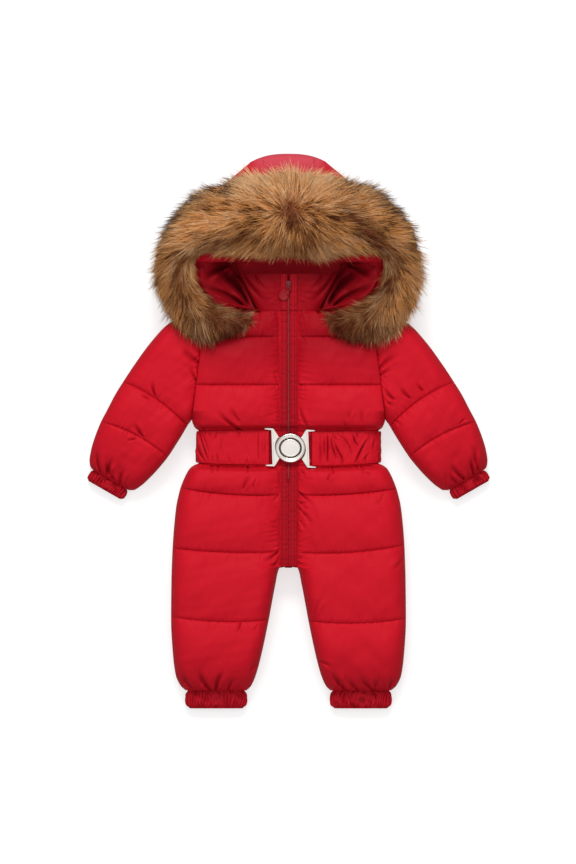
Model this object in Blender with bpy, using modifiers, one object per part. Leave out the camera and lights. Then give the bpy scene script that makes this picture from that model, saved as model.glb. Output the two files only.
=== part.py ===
"""A kids' padded one-piece ski suit with a fur-trimmed hood, laid flat on its back.

The suit lies on the floor with its front up: +X is the wearer's left, +Y points to the hood and
+Z up. The origin is on the floor, under the middle of the suit's width and length. Each piece is
one that a maker cuts and sews on. Sizes are in millimetres, and MM turns them into metres.
"""

import math
from collections import namedtuple

import bmesh
import bpy
import numpy as np
from mathutils import Vector
from mathutils.bvhtree import BVHTree

MM = 0.001
GAP = 0.3  # between two pieces at a seam
EDGE = 1.2  # the thickness of a panel where it is sewn to the next one
SIDES = {"right": -1, "left": 1}  # the wearer's sides, and their sign in X

# The suit's length, from the hood's crown to the ankle hems
CROWN_Y, HEM_Y = 445.0, -445.0
NECK_Y, WAIST_Y, CROTCH_Y = 192.0, -27.2, -219.0
BELT_TOP_Y, BELT_BOTTOM_Y = 0.0, -54.4
ARMPIT_Y, ANKLE_Y = 18.0, -416.0

# The height of the seam between front and back panels above the floor
BODY_SEAM_Z, WAIST_SEAM_Z, ANKLE_SEAM_Z, WRIST_SEAM_Z = 32.0, 26.0, 10.0, 9.5
STEPS_OUT = (30, 19, 10, 4, 1, 0)  # places in from the side seam, where the panels round
LEG_DROP_Y = -352.0  # below it the leg's seam comes down to the ankle

# Quilting seams across the body and legs, from the neck down
CHEST_SEAMS = (NECK_Y, 150.4, 73.6, BELT_TOP_Y + GAP)
LEG_SEAMS = (BELT_BOTTOM_Y - GAP, -99.0, -193.6, -304.0, ANKLE_Y)

# The trunk and legs. x_out is half the width of the outline, x_in the inseam, puff the height of
# the front above its side seam midway between two quilting seams, pinch the height on a seam,
# channel the height of the sunk strip under the zip, and lift the underside above the floor.
Section = namedtuple("Section", "y x_out x_in puff pinch channel lift")
TRUNK = (
    Section(192.0, 132.2, 0.15, 30, 20.0, 18.0, 0.0),
    Section(150.4, 137.5, 0.15, 38, 23.0, 20.5, 0.0),
    Section(112.0, 142.5, 0.15, 40, 24.0, 21.0, 0.0),
    Section(73.6, 147.5, 0.15, 40, 24.0, 21.0, 0.0),
    Section(37.0, 152.0, 0.15, 40, 24.0, 21.0, 0.0),
    Section(18.0, 154.6, 0.15, 39, 23.0, 20.0, 0.0),
    Section(9.0, 152.0, 0.15, 37, 22.0, 18.5, 0.0),
    Section(4.2, 149.0, 0.15, 19, 15.0, 13.5, 2.0),
    Section(0.3, 144.0, 0.15, 30, 18.0, 14.0, 4.6),
    Section(-27.2, 144.0, 0.15, 30, 18.0, 14.0, 4.6),
    Section(-54.7, 144.0, 0.15, 30, 18.0, 14.0, 4.6),
    Section(-58.6, 151.0, 0.15, 17, 15.0, 13.5, 2.0),
    Section(-64.0, 157.6, 0.15, 36, 21.0, 18.0, 0.0),
    Section(-83.2, 167.2, 0.15, 38, 23.0, 19.0, 0.0),
    Section(-107.0, 175.0, 0.15, 39, 23.0, 20.0, 0.0),
    Section(-131.0, 180.0, 0.15, 40, 24.0, 20.0, 0.0),
    Section(-193.6, 185.5, 0.15, 40, 24.0, 20.0, 0.0),
    Section(-217.0, 186.5, 0.15, 40, 24.0, 16.0, 0.0),
    Section(-219.0, 186.6, 14.5, 40, 24.0, 15.0, 0.0),
    Section(-246.0, 187.4, 21.0, 39, 24.0, 15.0, 0.0),
    Section(-304.0, 188.0, 32.0, 38, 23.0, 15.0, 0.0),
    Section(-352.0, 185.5, 42.0, 36, 21.0, 15.0, 0.0),
    Section(-390.4, 181.0, 52.0, 33, 17.0, 12.0, 0.0),
    Section(-409.6, 172.5, 60.5, 24, 12.0, 11.0, 0.0),
    Section(-416.0, 165.0, 67.0, 14, 9.0, 9.0, 0.0),
)

# One sleeve, in rings from the armhole to the wrist. Each ring runs from a point on the overarm
# edge to one on the underarm edge.
Ring = namedtuple("Ring", "over_x over_y under_x under_y puff pinch")
SLEEVE = (
    Ring(132.5, 194.0, 154.9, 18.0, 34, 20.0),
    Ring(165.0, 186.0, 156.0, 16.5, 34, 21.0),
    Ring(193.0, 171.0, 157.0, 15.0, 34, 21.0),
    Ring(220.0, 142.4, 158.3, 13.3, 34, 21.0),
    Ring(245.0, 108.5, 159.8, 11.5, 34, 21.0),
    Ring(264.5, 79.0, 162.0, 8.0, 34, 21.0),
    Ring(277.0, 59.0, 169.5, -5.0, 34, 21.0),
    Ring(289.5, 35.0, 181.0, -23.5, 33, 20.0),
    Ring(300.0, 15.0, 193.0, -41.6, 32, 20.0),
    Ring(309.0, -6.4, 207.0, -58.8, 32, 19.0),
    Ring(316.5, -30.0, 222.0, -74.8, 30, 16.0),
    Ring(319.3, -47.0, 238.0, -89.0, 24, 12.0),
    Ring(318.3, -56.0, 249.0, -95.0, 18, 10.0),
    Ring(315.3, -61.2, 256.3, -95.0, 12, 8.5),
)
SLEEVE_SEAMS = (0, 5, 8, 13)  # the rings that are quilting seams, or the sleeve's ends

# The hood lies on its back. half is half its width, top the height of its upper wall, and rim how
# near the middle the upper wall comes: at the face it stops short, and past it meets the crown.
HoodSection = namedtuple("HoodSection", "y half top rim")
HOOD_END_Y = 431.0  # where the sides end and the middle strip rounds the crown
HOOD = (
    HoodSection(192.5, 66, 66, 46),
    HoodSection(199.0, 108, 67, 80),
    HoodSection(207.0, 134, 69, 110),
    HoodSection(221.0, 153, 71, 132),
    HoodSection(240.0, 163, 73, 141),
    HoodSection(257.0, 166, 74, 140),
    HoodSection(268.0, 166, 75, 130),
    HoodSection(272.0, 166, 75, 40.3),
    HoodSection(300.0, 162, 76, 40.3),
    HoodSection(340.0, 147, 74, 40.3),
    HoodSection(380.0, 118, 64, 40.3),
    HoodSection(408.0, 88, 50, 40.3),
    HoodSection(HOOD_END_Y, 61, 34, 40.3),
)
HOOD_NECK_ROWS = (192.5, 196, 201, 209, 222, 240)
HOOD_TOP_ROWS = (300, 335, 370, 398, 418, HOOD_END_Y)
HOOD_WALL = 8.0
HOOD_STRIP = 40.0  # half the width of the hood's middle strip
HOOD_SQUARENESS = 4.0

# The fur trim in sections from its middle, over the face, to its tip under the chin. Each runs
# from the face side to the outer side, and ridge is its height above the floor.
FurSection = namedtuple("FurSection", "in_x in_y out_x out_y ridge")
FUR = (
    FurSection(0, 254, 0, 423, 126),
    FurSection(-30, 255, -58, 419, 125),
    FurSection(-62, 260, -112, 404, 124),
    FurSection(-94, 268, -158, 375, 122),
    FurSection(-122, 276, -193, 335, 120),
    FurSection(-140, 272, -211, 288, 117),
    FurSection(-145, 257, -215, 244, 114),
    FurSection(-141, 238, -207, 208, 111),
    FurSection(-129, 219, -186, 172, 108),
    FurSection(-108, 205, -150, 146, 106),
    FurSection(-84, 198, -112, 139, 104),
    FurSection(-66, 194, -80, 147, 99),
    FurSection(-52, 191, -60, 166, 90),
)
FUR_LOCKS = 38  # locks of hair that show round the trim, from tip to tip
FUR_LOCK = 2.4  # how far a lock stands out
FUR_X = 0.6  # the trim's middle
FUR_HEM_Z, FUR_FACE_Z = 30.0, 68.0  # how low the hair hangs outside the hood and over the face

# A cuff along its length: its width and height as shares of the full ones
Station = namedtuple("Station", "along wide high")
CUFF_STATIONS = (Station(0.0, 0.965, 0.80), Station(0.5, 1.0, 1.0), Station(1.0, 0.93, 0.72))
CUFF_GATHERS = 30  # ridges round a cuff
CUFF_WALL, CUFF_SLIT = 4.5, 3.0
GATHER = 0.7  # how far a gather stands out or in

COLLAR_TOP_Y = 251.0
COLLAR_HALF = (50.0, 78.0)  # half the width at the neck seam and at the top
COLLAR_BASE_Z, COLLAR_TOP_Z = 8.4, (52.5, 56.0)
COLLAR_WALL = 8.0

PLACKET_WIDTH = (12.4, 13.6)  # the strips beside the zip, on the wearer's right and left
PLACKET_BED = 14.2  # half the width of the sunk strip under them
PLACKET_THICK = 3.0
ZIP_TOP_Y, ZIP_STOP_Y = 240.0, -80.0
ZIP_HALF, ZIP_THICK = 1.8, 2.4

BUCKLE_X, BUCKLE_Y, BUCKLE_Z = 3.0, -27.2, 46.6  # its middle, and the height under its plates
BUCKLE_DISC, BUCKLE_TALL, BUCKLE_BAR_OUT, BUCKLE_FLANGE = 24.0, 61.6, 29.8, 10.4
BELT_THICK = 3.4
BELT_GATHERS = 40  # on each side, half of them ridges and half troughs
BELT_FOLD = 0.9  # how far they stand out or in

SLIDER_Y = 233.0
BRIDGE_Y = (229.2, 235.8)
PULL_AXIS_Y, PULL_THICK, PULL_RADIUS = 231.9, 1.4, 8.0
PULL_X, PULL_Y = -7.6, 216.4

RED = (0.62, 0.015, 0.028)
DARK_RED = (0.30, 0.006, 0.012)
FUR_BROWN = (0.32, 0.16, 0.06)
SILVER = (0.78, 0.76, 0.73)


# ---------------------------------------------------------------- interpolation

def smooth(knots, values, at):
    """A curve through the values that never swings past them: cubics with limited slopes."""
    knots, values = np.asarray(knots, float), np.asarray(values, float)
    if knots[0] > knots[-1]:
        knots, values = knots[::-1], values[::-1]
    at = np.clip(at, knots[0], knots[-1])
    step = np.diff(knots)
    rise = np.diff(values) / step
    slope = np.concatenate([[rise[0]], np.zeros(len(rise) - 1), [rise[-1]]])
    same = rise[:-1] * rise[1:] > 0
    both = rise[:-1][same] + rise[1:][same]
    slope[1:-1][same] = 2 * rise[:-1][same] * rise[1:][same] / both
    i = np.clip(np.searchsorted(knots, at, side="right") - 1, 0, len(step) - 1)
    t = (at - knots[i]) / step[i]
    start = (1 + 2 * t) * (1 - t) ** 2 * values[i] + t * (1 - t) ** 2 * step[i] * slope[i]
    end = t**2 * (3 - 2 * t) * values[i + 1] + t**2 * (t - 1) * step[i] * slope[i + 1]
    return start + end


def column(table, name, y):
    """A named column of a table, read at a height y between its rows."""
    return smooth([row.y for row in table], [getattr(row, name) for row in table], y)


def shares(seams, cuts):
    """Places along a run of quilted channels: each seam, and cuts as shares of each channel."""
    places = [a + (b - a) * t for a, b in zip(seams, seams[1:]) for t in cuts]
    return places + [seams[-1]]


def fullness(place, seams):
    """0 on a quilting seam and 1 midway between two."""
    ordered = sorted(seams)
    i = min(max(np.searchsorted(ordered, place) - 1, 0), len(ordered) - 2)
    t = (place - ordered[i]) / (ordered[i + 1] - ordered[i])
    return 1 - abs(2 * min(max(t, 0.0), 1.0) - 1) ** 2.2


def rounded(distance, radius):
    """The share of its full height that a padded edge has at a distance in from it."""
    t = np.clip(distance / radius, 0, 1)
    return (1 - (1 - t) ** 2.4) ** (1 / 2.1)


# ---------------------------------------------------------------- making solids

def material(name, colour, roughness, metallic=0.0):
    made = bpy.data.materials.get(name) or bpy.data.materials.new(name)
    made.use_nodes = True
    shader = made.node_tree.nodes["Principled BSDF"]
    shader.inputs["Base Color"].default_value = (*colour, 1)
    shader.inputs["Roughness"].default_value = roughness
    shader.inputs["Metallic"].default_value = metallic
    return made


def shell_cloth():
    return material("shell_cloth", RED, 0.55)


def trim_cloth():
    return material("trim_cloth", DARK_RED, 0.6)


def fur_hair():
    return material("fur_hair", FUR_BROWN, 0.9)


def silver_metal():
    return material("silver_metal", SILVER, 0.25, 1.0)


def link(obj, finish):
    obj.data.materials.append(finish)
    bpy.data.collections["ski_suit"].objects.link(obj)
    return obj


def from_bmesh(name, bm, finish):
    bmesh.ops.recalc_face_normals(bm, faces=bm.faces)
    mesh = bpy.data.meshes.new(name)
    bm.to_mesh(mesh)
    bm.free()
    mesh.shade_smooth()
    mesh.set_sharp_from_angle(angle=math.radians(40))
    return link(bpy.data.objects.new(name, mesh), finish)


def wall(name, outer, inner, finish, ring=False):
    """A cloth wall lofted through sections. outer and inner hold its two faces, section by
    section, and a ring's sections close on themselves. A plain inner face may have fewer points
    across than the outer one, which each of its spans then faces in equal numbers."""
    bm = bmesh.new()
    skins = [[[bm.verts.new(Vector(p) * MM) for p in row] for row in skin] for skin in (outer, inner)]
    for skin in skins:
        closed = [[*row, row[0]] if ring else row for row in skin]
        for low, high in zip(closed, closed[1:]):
            for c in range(len(low) - 1):
                bm.faces.new((low[c], low[c + 1], high[c + 1], high[c]))
    for end in (0, -1):
        front, back = ([*skin[end], skin[end][0]] if ring else skin[end] for skin in skins)
        spans = len(back) - 1
        if ring or len(front) == len(back):
            step = (len(front) - 1) // spans
            for c in range(spans):
                bm.faces.new((*front[c * step:(c + 1) * step + 1], back[c + 1], back[c]))
        else:
            bm.faces.new((*front, *back[::-1]))
    if not ring:
        front, back = skins
        for c in (0, -1):
            for r in range(len(front) - 1):
                bm.faces.new((front[r][c], front[r + 1][c], back[r + 1][c], back[r][c]))
    return from_bmesh(name, bm, finish)


def grid(rows, cols, point):
    return np.array([[point(r, c) for c in cols] for r in rows], float)


# ---------------------------------------------------------------- trunk and legs

def seam_z(y):
    """The height of the trunk's side seam. It is straight between its turning points, so that
    front and back panels with other rows still lie flat on each other."""
    turns = (ANKLE_Y, LEG_DROP_Y, -64.0, -54.7, 0.3, 9.0)
    heights = (ANKLE_SEAM_Z, BODY_SEAM_Z, BODY_SEAM_Z, WAIST_SEAM_Z, WAIST_SEAM_Z, BODY_SEAM_Z)
    return float(np.interp(y, turns, heights))


def under_zip(y):
    """1 where the zip's strip runs down the middle, and 0 on the legs."""
    return float(np.interp(y, (CROTCH_Y, CROTCH_Y + 2), (0, 1)))


def trunk_columns(y):
    """Places across a front panel: close together beside the zip or inseam and at the side."""
    x_in, x_out = column(TRUNK, "x_in", y), column(TRUNK, "x_out", y)
    beside_zip = PLACKET_BED + np.array([-PLACKET_BED, 0, 1.8, 6, 13, 26])
    beside_inseam = np.array([0, 1.5, 5, 11, 19, 30])
    near = x_in + beside_inseam + (beside_zip - beside_inseam) * under_zip(y)
    far = x_out - np.array(STEPS_OUT)
    middle = near[-1] + (far[0] - near[-1]) * np.array([1 / 3, 2 / 3])
    return np.concatenate([near, middle, far])


def armhole_share(y):
    """How much of its height the panel keeps at its outer edge: most at the armhole, none at
    the side seam."""
    return float(np.interp(y, (ARMPIT_Y, ARMPIT_Y + 14, NECK_Y - 12, NECK_Y), (0, 0.8, 0.8, 0.7)))


def front_height(x, y, seams):
    """The height of the trunk's or leg's front above its side seam."""
    x_in, x_out = column(TRUNK, "x_in", y), column(TRUNK, "x_out", y)
    puff, pinch = column(TRUNK, "puff", y), column(TRUNK, "pinch", y)
    height = pinch + (puff - pinch) * fullness(y, seams)
    kept = armhole_share(y)
    side = kept + (1 - kept) * rounded(x_out - x, 34)
    inseam = rounded(x - x_in, 28)
    sunk = column(TRUNK, "channel", y)
    rise = rounded(max(x - x_in - PLACKET_BED, 0), 26)
    open_leg, zipped = height * inseam, sunk + (height - sunk) * rise
    share = under_zip(y)
    return max((open_leg + (zipped - open_leg) * share) * side, EDGE)


def trunk_front(name, side, rows, seams):
    def point(y, i, top):
        x = trunk_columns(y)[i]
        rise = front_height(x, y, seams) if top else 0
        return side * x, y, seam_z(y) + GAP / 2 + rise

    outer = grid(rows, range(len(trunk_columns(0))), lambda y, i: point(y, i, True))
    inner = grid(rows, (0, -1), lambda y, i: point(y, i, False))
    return wall(name, outer, inner, shell_cloth())


def underside(x, y, x_in, x_out):
    """The back panel's lower face: flat on the floor, and round at the side and the inseam."""
    lift, seam = column(TRUNK, "lift", y), seam_z(y) - GAP / 2
    kept = float(np.interp(y, (ARMPIT_Y, ARMPIT_Y + 14), (0, 1)))
    side = kept + (1 - kept) * rounded(x_out - abs(x), 30)
    zipped = under_zip(y)
    inseam = zipped + (1 - zipped) * rounded(abs(x) - x_in, 26)
    return seam - max((seam - lift) * side * inseam, EDGE)


def back_panel(name, rows, across):
    """across gives the places across the panel at a height y."""
    def point(y, i, low):
        x = across(y)[i]
        x_in, x_out = column(TRUNK, "x_in", y), column(TRUNK, "x_out", y)
        return x, y, underside(x, y, x_in, x_out) if low else seam_z(y) - GAP / 2

    return wall(name, grid(rows, range(len(across(0))), lambda y, i: point(y, i, True)),
                grid(rows, (0, -1), lambda y, i: point(y, i, False)), shell_cloth())


CUTS = (0, 0.09, 0.27, 0.5, 0.73, 0.91)
BODICE_ROWS = (
    shares(CHEST_SEAMS[:2], (0, 0.15, 0.5, 0.85))[:-1]
    + shares(CHEST_SEAMS[1:3], CUTS)[:-1]
    + [73.6, 66.5, 52.0, 36.0, ARMPIT_Y, 9.0, 4.2, 0.3, WAIST_Y + GAP / 2]
)
TROUSER_ROWS = (
    [WAIST_Y - GAP / 2, -54.7, -58.6, -64.0, -72.0, -80.0, -90.0, -95.0]
    + shares(LEG_SEAMS[1:3], CUTS)[:-1]
    + [-193.6, -203.5, -217.0, -219.0, -232.0, -249.0, -270.0, -290.0]
    + [-304.0, -312.0, -330.0, LEG_DROP_Y, -374.0, -394.0, -409.6, ANKLE_Y]
)


def bodice():
    for side, sign in SIDES.items():
        trunk_front(f"bodice_front_{side}", sign, BODICE_ROWS, CHEST_SEAMS)

    def across(y):
        half = column(TRUNK, "x_out", y)
        right = np.concatenate([[0, half * 0.45], half - np.array(STEPS_OUT)])
        return np.concatenate([-right[:0:-1], right])

    rows = [NECK_Y, 120.0, 60.0, 32.0, ARMPIT_Y, 9.0, 4.2, 0.3, WAIST_Y + GAP / 2]
    back_panel("bodice_back", rows, across)


def trousers():
    rows = [WAIST_Y - GAP / 2, -54.7, -58.6, -64.0, -83.2, -131.0, -205.0, -217.0, -219.0, -246.0,
            -304.0, LEG_DROP_Y, -390.4, -409.6, ANKLE_Y]
    for side, sign in SIDES.items():
        trunk_front(f"trouser_front_{side}", sign, TROUSER_ROWS, LEG_SEAMS)
        back_panel(f"trouser_back_{side}", rows,
                   lambda y: sign * np.delete(trunk_columns(y), (2, 4, 6)))


# ---------------------------------------------------------------- sleeves

def sleeve_value(name, ring):
    return smooth(range(len(SLEEVE)), [getattr(row, name) for row in SLEEVE], ring)


def sleeve_ends(ring):
    over = np.array([sleeve_value("over_x", ring), sleeve_value("over_y", ring)])
    return over, np.array([sleeve_value("under_x", ring), sleeve_value("under_y", ring)])


def sleeve_seam_z(x, y):
    """Level from the armhole to the last quilting seam, then straight down to the wrist."""
    last = SLEEVE[SLEEVE_SEAMS[2]]
    along = np.array([last.over_x - last.under_x, last.over_y - last.under_y])
    down = np.array([along[1], -along[0]]) / np.linalg.norm(along)
    past = (x - last.over_x) * down[0] + (y - last.over_y) * down[1]
    wrist = SLEEVE[-1]
    full = (wrist.over_x - last.over_x) * down[0] + (wrist.over_y - last.over_y) * down[1]
    return BODY_SEAM_Z + (WRIST_SEAM_Z - BODY_SEAM_Z) * max(past, 0) / full


ACROSS_SLEEVE = (0, 1, 4, 10, 20)  # millimetres in from the overarm and underarm edges


def sleeve_columns(ring):
    over, under = sleeve_ends(ring)
    width = np.linalg.norm(under - over)
    near = np.array(ACROSS_SLEEVE) / width
    return np.concatenate([near, [0.36, 0.5, 0.64], 1 - near[::-1]])


def sleeve_height(ring, share):
    over, under = sleeve_ends(ring)
    width = np.linalg.norm(under - over)
    puff, pinch = sleeve_value("puff", ring), sleeve_value("pinch", ring)
    height = pinch + (puff - pinch) * fullness(ring, SLEEVE_SEAMS)
    edge = min(share, 1 - share) * width
    return max(height * rounded(edge, 30), EDGE)


def sleeve_panel(name, side, rings, front):
    def point(ring, i, skin):
        share = sleeve_columns(ring)[i]
        over, under = sleeve_ends(ring)
        x, y = over + (under - over) * share
        seam = sleeve_seam_z(x, y)
        if front:
            z = seam + GAP / 2 + (sleeve_height(ring, share) if skin else 0)
        else:
            edge = min(share, 1 - share) * np.linalg.norm(under - over)
            z = seam - GAP / 2 - (max((seam - GAP / 2) * rounded(edge, 26), EDGE) if skin else 0)
        return side * x, y, z

    return wall(name, grid(rings, range(len(sleeve_columns(0))), lambda r, i: point(r, i, True)),
                grid(rings, (0, -1), lambda r, i: point(r, i, False)), shell_cloth())


def sleeves():
    front_rings = [0, 0.5, 1.3, 2.5, 3.7, 4.5, 5, 5.25, 5.8, 6.5, 7.2, 7.75, 8, 8.4, 9.3, 10.3, 11.2,
                   12, 13]
    back_rings = [0, 1.3, 2.6, 4, 5.5, 7, 8, 9.3, 10.3, 11.2, 12, 13]
    for side, sign in SIDES.items():
        sleeve_panel(f"sleeve_front_{side}", sign, front_rings, True)
        sleeve_panel(f"sleeve_back_{side}", sign, back_rings, False)


# ---------------------------------------------------------------- gathered cuffs

def cuff(name, start, across, axis, size, drop):
    """A gathered elastic cuff, flattened. start is the middle of its upper edge, across and axis
    unit vectors, size its half width, length and half height, and drop the seam's height."""
    half, length, tall = size
    start, across, axis = (np.array(v, float) for v in (start, across, axis))

    def ring(station, inside):
        count = CUFF_GATHERS * 2 // (3 if inside else 1)
        points = []
        for k in range(count):
            turn = 2 * math.pi * (k + 0.5) / count
            c, s = math.cos(turn), math.sin(turn)
            wide, high = math.copysign(abs(c) ** 0.55, c), math.copysign(abs(s) ** 0.7, s)
            fold = GATHER if k % 2 else -GATHER
            if inside:
                sideways, up = wide * (half - CUFF_WALL) * station.wide, high * CUFF_SLIT / 2
            else:
                sideways, up = wide * (half * station.wide + 0.5 * fold), high * (tall * station.high + fold)
            place = start + across * sideways + axis * length * station.along
            points.append((*place, drop + up))
        return points

    outer = [ring(station, False) for station in CUFF_STATIONS]
    inner = [ring(station, True) for station in CUFF_STATIONS]
    return wall(name, outer, inner, shell_cloth(), ring=True)


def cuffs():
    wrist = SLEEVE[-1]
    over, under = np.array([wrist.over_x, wrist.over_y]), np.array([wrist.under_x, wrist.under_y])
    edge = (over - under) / np.linalg.norm(over - under)
    down = np.array([edge[1], -edge[0]])
    ankle = TRUNK[-1]
    for side, sign in SIDES.items():
        flip = np.array([sign, 1])
        cuff(f"wrist_cuff_{side}", ((over + under) / 2 + down * GAP) * flip, edge * flip, down * flip,
             (34.0, 19.0, 9.0), WRIST_SEAM_Z + 0.3)
        cuff(f"ankle_cuff_{side}", (sign * (ankle.x_in + ankle.x_out) / 2, ANKLE_Y - GAP), (sign, 0),
             (0, -1), (49.5, -HEM_Y + ANKLE_Y - GAP, 9.5), ANKLE_SEAM_Z + 0.3)


# ---------------------------------------------------------------- collar

def collar_ring(y, turn, depth):
    """A point of the collar at height y: turn is 0 at the wearer's left and goes over the front."""
    t = (y - NECK_Y) / (COLLAR_TOP_Y - NECK_Y)
    half = COLLAR_HALF[0] + (COLLAR_HALF[1] - COLLAR_HALF[0]) * t - depth
    top = COLLAR_TOP_Z[0] + (COLLAR_TOP_Z[1] - COLLAR_TOP_Z[0]) * t
    middle, tall = (top + COLLAR_BASE_Z) / 2, (top - COLLAR_BASE_Z) / 2 - depth
    c, s = math.cos(turn), math.sin(turn)
    return (
        half * math.copysign(abs(c) ** 0.6, c), y, middle + tall * math.copysign(abs(s) ** 0.6, s)
    )


def collar():
    """Two front pieces that the zip parts, and a back piece, with a seam at each side."""
    rows = np.linspace(NECK_Y + GAP, COLLAR_TOP_Y, 5)
    split, side_seam = 0.0016, 0.008  # radians that keep the pieces a gap apart
    bed = (PLACKET_BED / COLLAR_HALF[0]) ** (1 / 0.6)  # the cosine at the placket's edge

    def piece(name, turns, fat):
        def point(y, turn, depth):
            swell = fat * math.sin(math.pi * (y - NECK_Y) / (COLLAR_TOP_Y - NECK_Y))
            swell *= rounded(abs(math.cos(turn)) - bed, 0.3)
            x, y, z = collar_ring(y, turn, depth)
            return x, y, z + (swell if depth == 0 else 0)

        wall(name, grid(rows, turns, lambda y, t: point(y, t, 0)),
             grid(rows, turns, lambda y, t: point(y, t, COLLAR_WALL)), shell_cloth())

    quarter = np.append(np.linspace(side_seam, math.acos(bed), 8), math.pi / 2 - split)
    piece("collar_front_left", quarter, 3.0)
    piece("collar_front_right", math.pi - quarter, 3.0)
    piece("collar_back", np.linspace(-side_seam, side_seam - math.pi, 13), 0.0)


# ---------------------------------------------------------------- hood

def hood_point(y, turn, depth):
    """A point of the hood's wall: turn runs from -90 degrees on the floor to 90 on top. The inner
    face keeps its width at the middle strip's seam, so that the seam's two edges stay parallel."""
    half, top = column(HOOD, "half", y), column(HOOD, "top", y)
    c, s = max(math.cos(turn), 0.0), math.sin(turn)
    power = 2 / HOOD_SQUARENESS
    x = half * c**power
    past_seam = max(x - HOOD_STRIP - GAP, 0) / (half - HOOD_STRIP)
    z = top / 2 + (top / 2 - depth) * math.copysign(abs(s) ** power, s)
    return x - depth * math.sqrt(past_seam), y, z


def hood_turn(y, x):
    """The turn at which the hood's wall is x from the middle."""
    half = column(HOOD, "half", y)
    return math.acos(min(x / half, 1.0) ** (HOOD_SQUARENESS / 2))


def hood_side(name, sign):
    rows = [*HOOD_NECK_ROWS, 257, 268, 272, *HOOD_TOP_ROWS]
    spread = (0, 0.14, 0.27, 0.38, 0.46, 0.53, 0.6, 0.68, 0.78, 0.89, 1)

    def point(y, share, depth):
        low, high = -hood_turn(y, HOOD_STRIP + GAP), hood_turn(y, column(HOOD, "rim", y))
        x, y, z = hood_point(y, low + (high - low) * share, depth)
        return sign * x, y, z

    wall(name, grid(rows, spread, lambda y, s: point(y, s, 0)),
         grid(rows, spread, lambda y, s: point(y, s, HOOD_WALL)), shell_cloth())


def hood_strip():
    """The hood's middle strip: from the nape along the floor, round the crown and back over the
    top to the face."""
    end = HOOD[-1]
    places = [(y, -1) for y in (*HOOD_NECK_ROWS, *HOOD_TOP_ROWS)]
    turns = np.radians((-75, -50, -25, 0, 25, 50, 75))
    back = [(y, 1) for y in (*HOOD_TOP_ROWS[::-1], 270)]

    def point(place, share, depth):
        y, face = place
        x, _, z = hood_point(y, face * hood_turn(y, HOOD_STRIP * abs(share)), depth)
        return math.copysign(x, share) if share else 0.0, y, z

    def crown(turn, share, depth):
        reach = CROWN_Y - end.y - 2.0 * share**2 - depth
        y = end.y + reach * math.cos(turn)
        x = HOOD_STRIP * share * (1 - 0.08 * math.cos(turn))
        return x, y, end.top / 2 + (end.top / 2 - depth) * math.sin(turn)

    spread = (-1, -0.6, 0, 0.6, 1)
    skins = [
        np.concatenate([
            grid(places, spread, lambda p, s: point(p, s, depth)),
            grid(turns, spread, lambda t, s: crown(t, s, depth)),
            grid(back, spread, lambda p, s: point(p, s, depth)),
        ])
        for depth in (0, HOOD_WALL)
    ]
    wall("hood_middle", skins[0], skins[1], shell_cloth())


def hood():
    hood_strip()
    for side, sign in SIDES.items():
        hood_side(f"hood_{side}", sign)


# ---------------------------------------------------------------- placket and zip

def front_z(y):
    """The height of the strip on which the zip and its placket lie."""
    if y <= NECK_Y:
        return seam_z(y) + GAP / 2 + column(TRUNK, "channel", y)
    t = (y - NECK_Y) / (COLLAR_TOP_Y - NECK_Y)
    return COLLAR_TOP_Z[0] + (COLLAR_TOP_Z[1] - COLLAR_TOP_Z[0]) * t


def down_the_front(top, bottom):
    """The rows of the panels under the zip, between two heights."""
    under = sorted({*np.linspace(NECK_Y + GAP, COLLAR_TOP_Y, 5), *BODICE_ROWS, *TROUSER_ROWS})
    return [top, *[y for y in under[::-1] if bottom + 2 < y < top - 2], bottom]


def strip(name, rows, edges, thick, finish):
    """A strip of the given thickness on the front, between edges(y)."""
    def point(y, share, top):
        a, b = edges(y)
        lift = GAP + (thick * (1 - 0.25 * abs(2 * share - 1) ** 4) if top else 0)
        return a + (b - a) * share, y, front_z(y) + lift

    return wall(name, grid(rows, (0, 0.12, 0.88, 1), lambda y, s: point(y, s, True)),
                grid(rows, (0, 1), lambda y, s: point(y, s, False)), finish)


def placket():
    rows = down_the_front(COLLAR_TOP_Y - 0.5, CROTCH_Y + 2.5)

    def inner_edge(y):
        """Clear of the zip above its stop, and nearly closed below it."""
        return float(np.interp(y, (ZIP_STOP_Y - 6, ZIP_STOP_Y - 1), (GAP / 2, ZIP_HALF + 0.4)))

    right, left = PLACKET_WIDTH
    strip("placket_right", rows, lambda y: (-right, -inner_edge(y)), PLACKET_THICK, shell_cloth())
    strip("placket_left", rows, lambda y: (inner_edge(y), left), PLACKET_THICK, shell_cloth())
    chain_rows = down_the_front(ZIP_TOP_Y, ZIP_STOP_Y)
    strip("zip_chain", chain_rows, lambda y: (-ZIP_HALF, ZIP_HALF), ZIP_THICK, trim_cloth())


# ---------------------------------------------------------------- belt and buckle

def waist_front(x):
    """The height of the panels under the belt, along the belt's middle line."""
    places = trunk_columns(WAIST_Y)
    heights = [front_height(place, WAIST_Y, LEG_SEAMS) for place in places]
    return seam_z(WAIST_Y) + GAP / 2 + float(np.interp(x, places, heights))


def waist_back(x):
    """The height of the back panel's underside over the floor, under the belt."""
    half = column(TRUNK, "x_out", WAIST_Y)
    places = half - np.array(STEPS_OUT)
    heights = [underside(place, WAIST_Y, 0, half) for place in places]
    return float(np.interp(x, places, heights))


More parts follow.
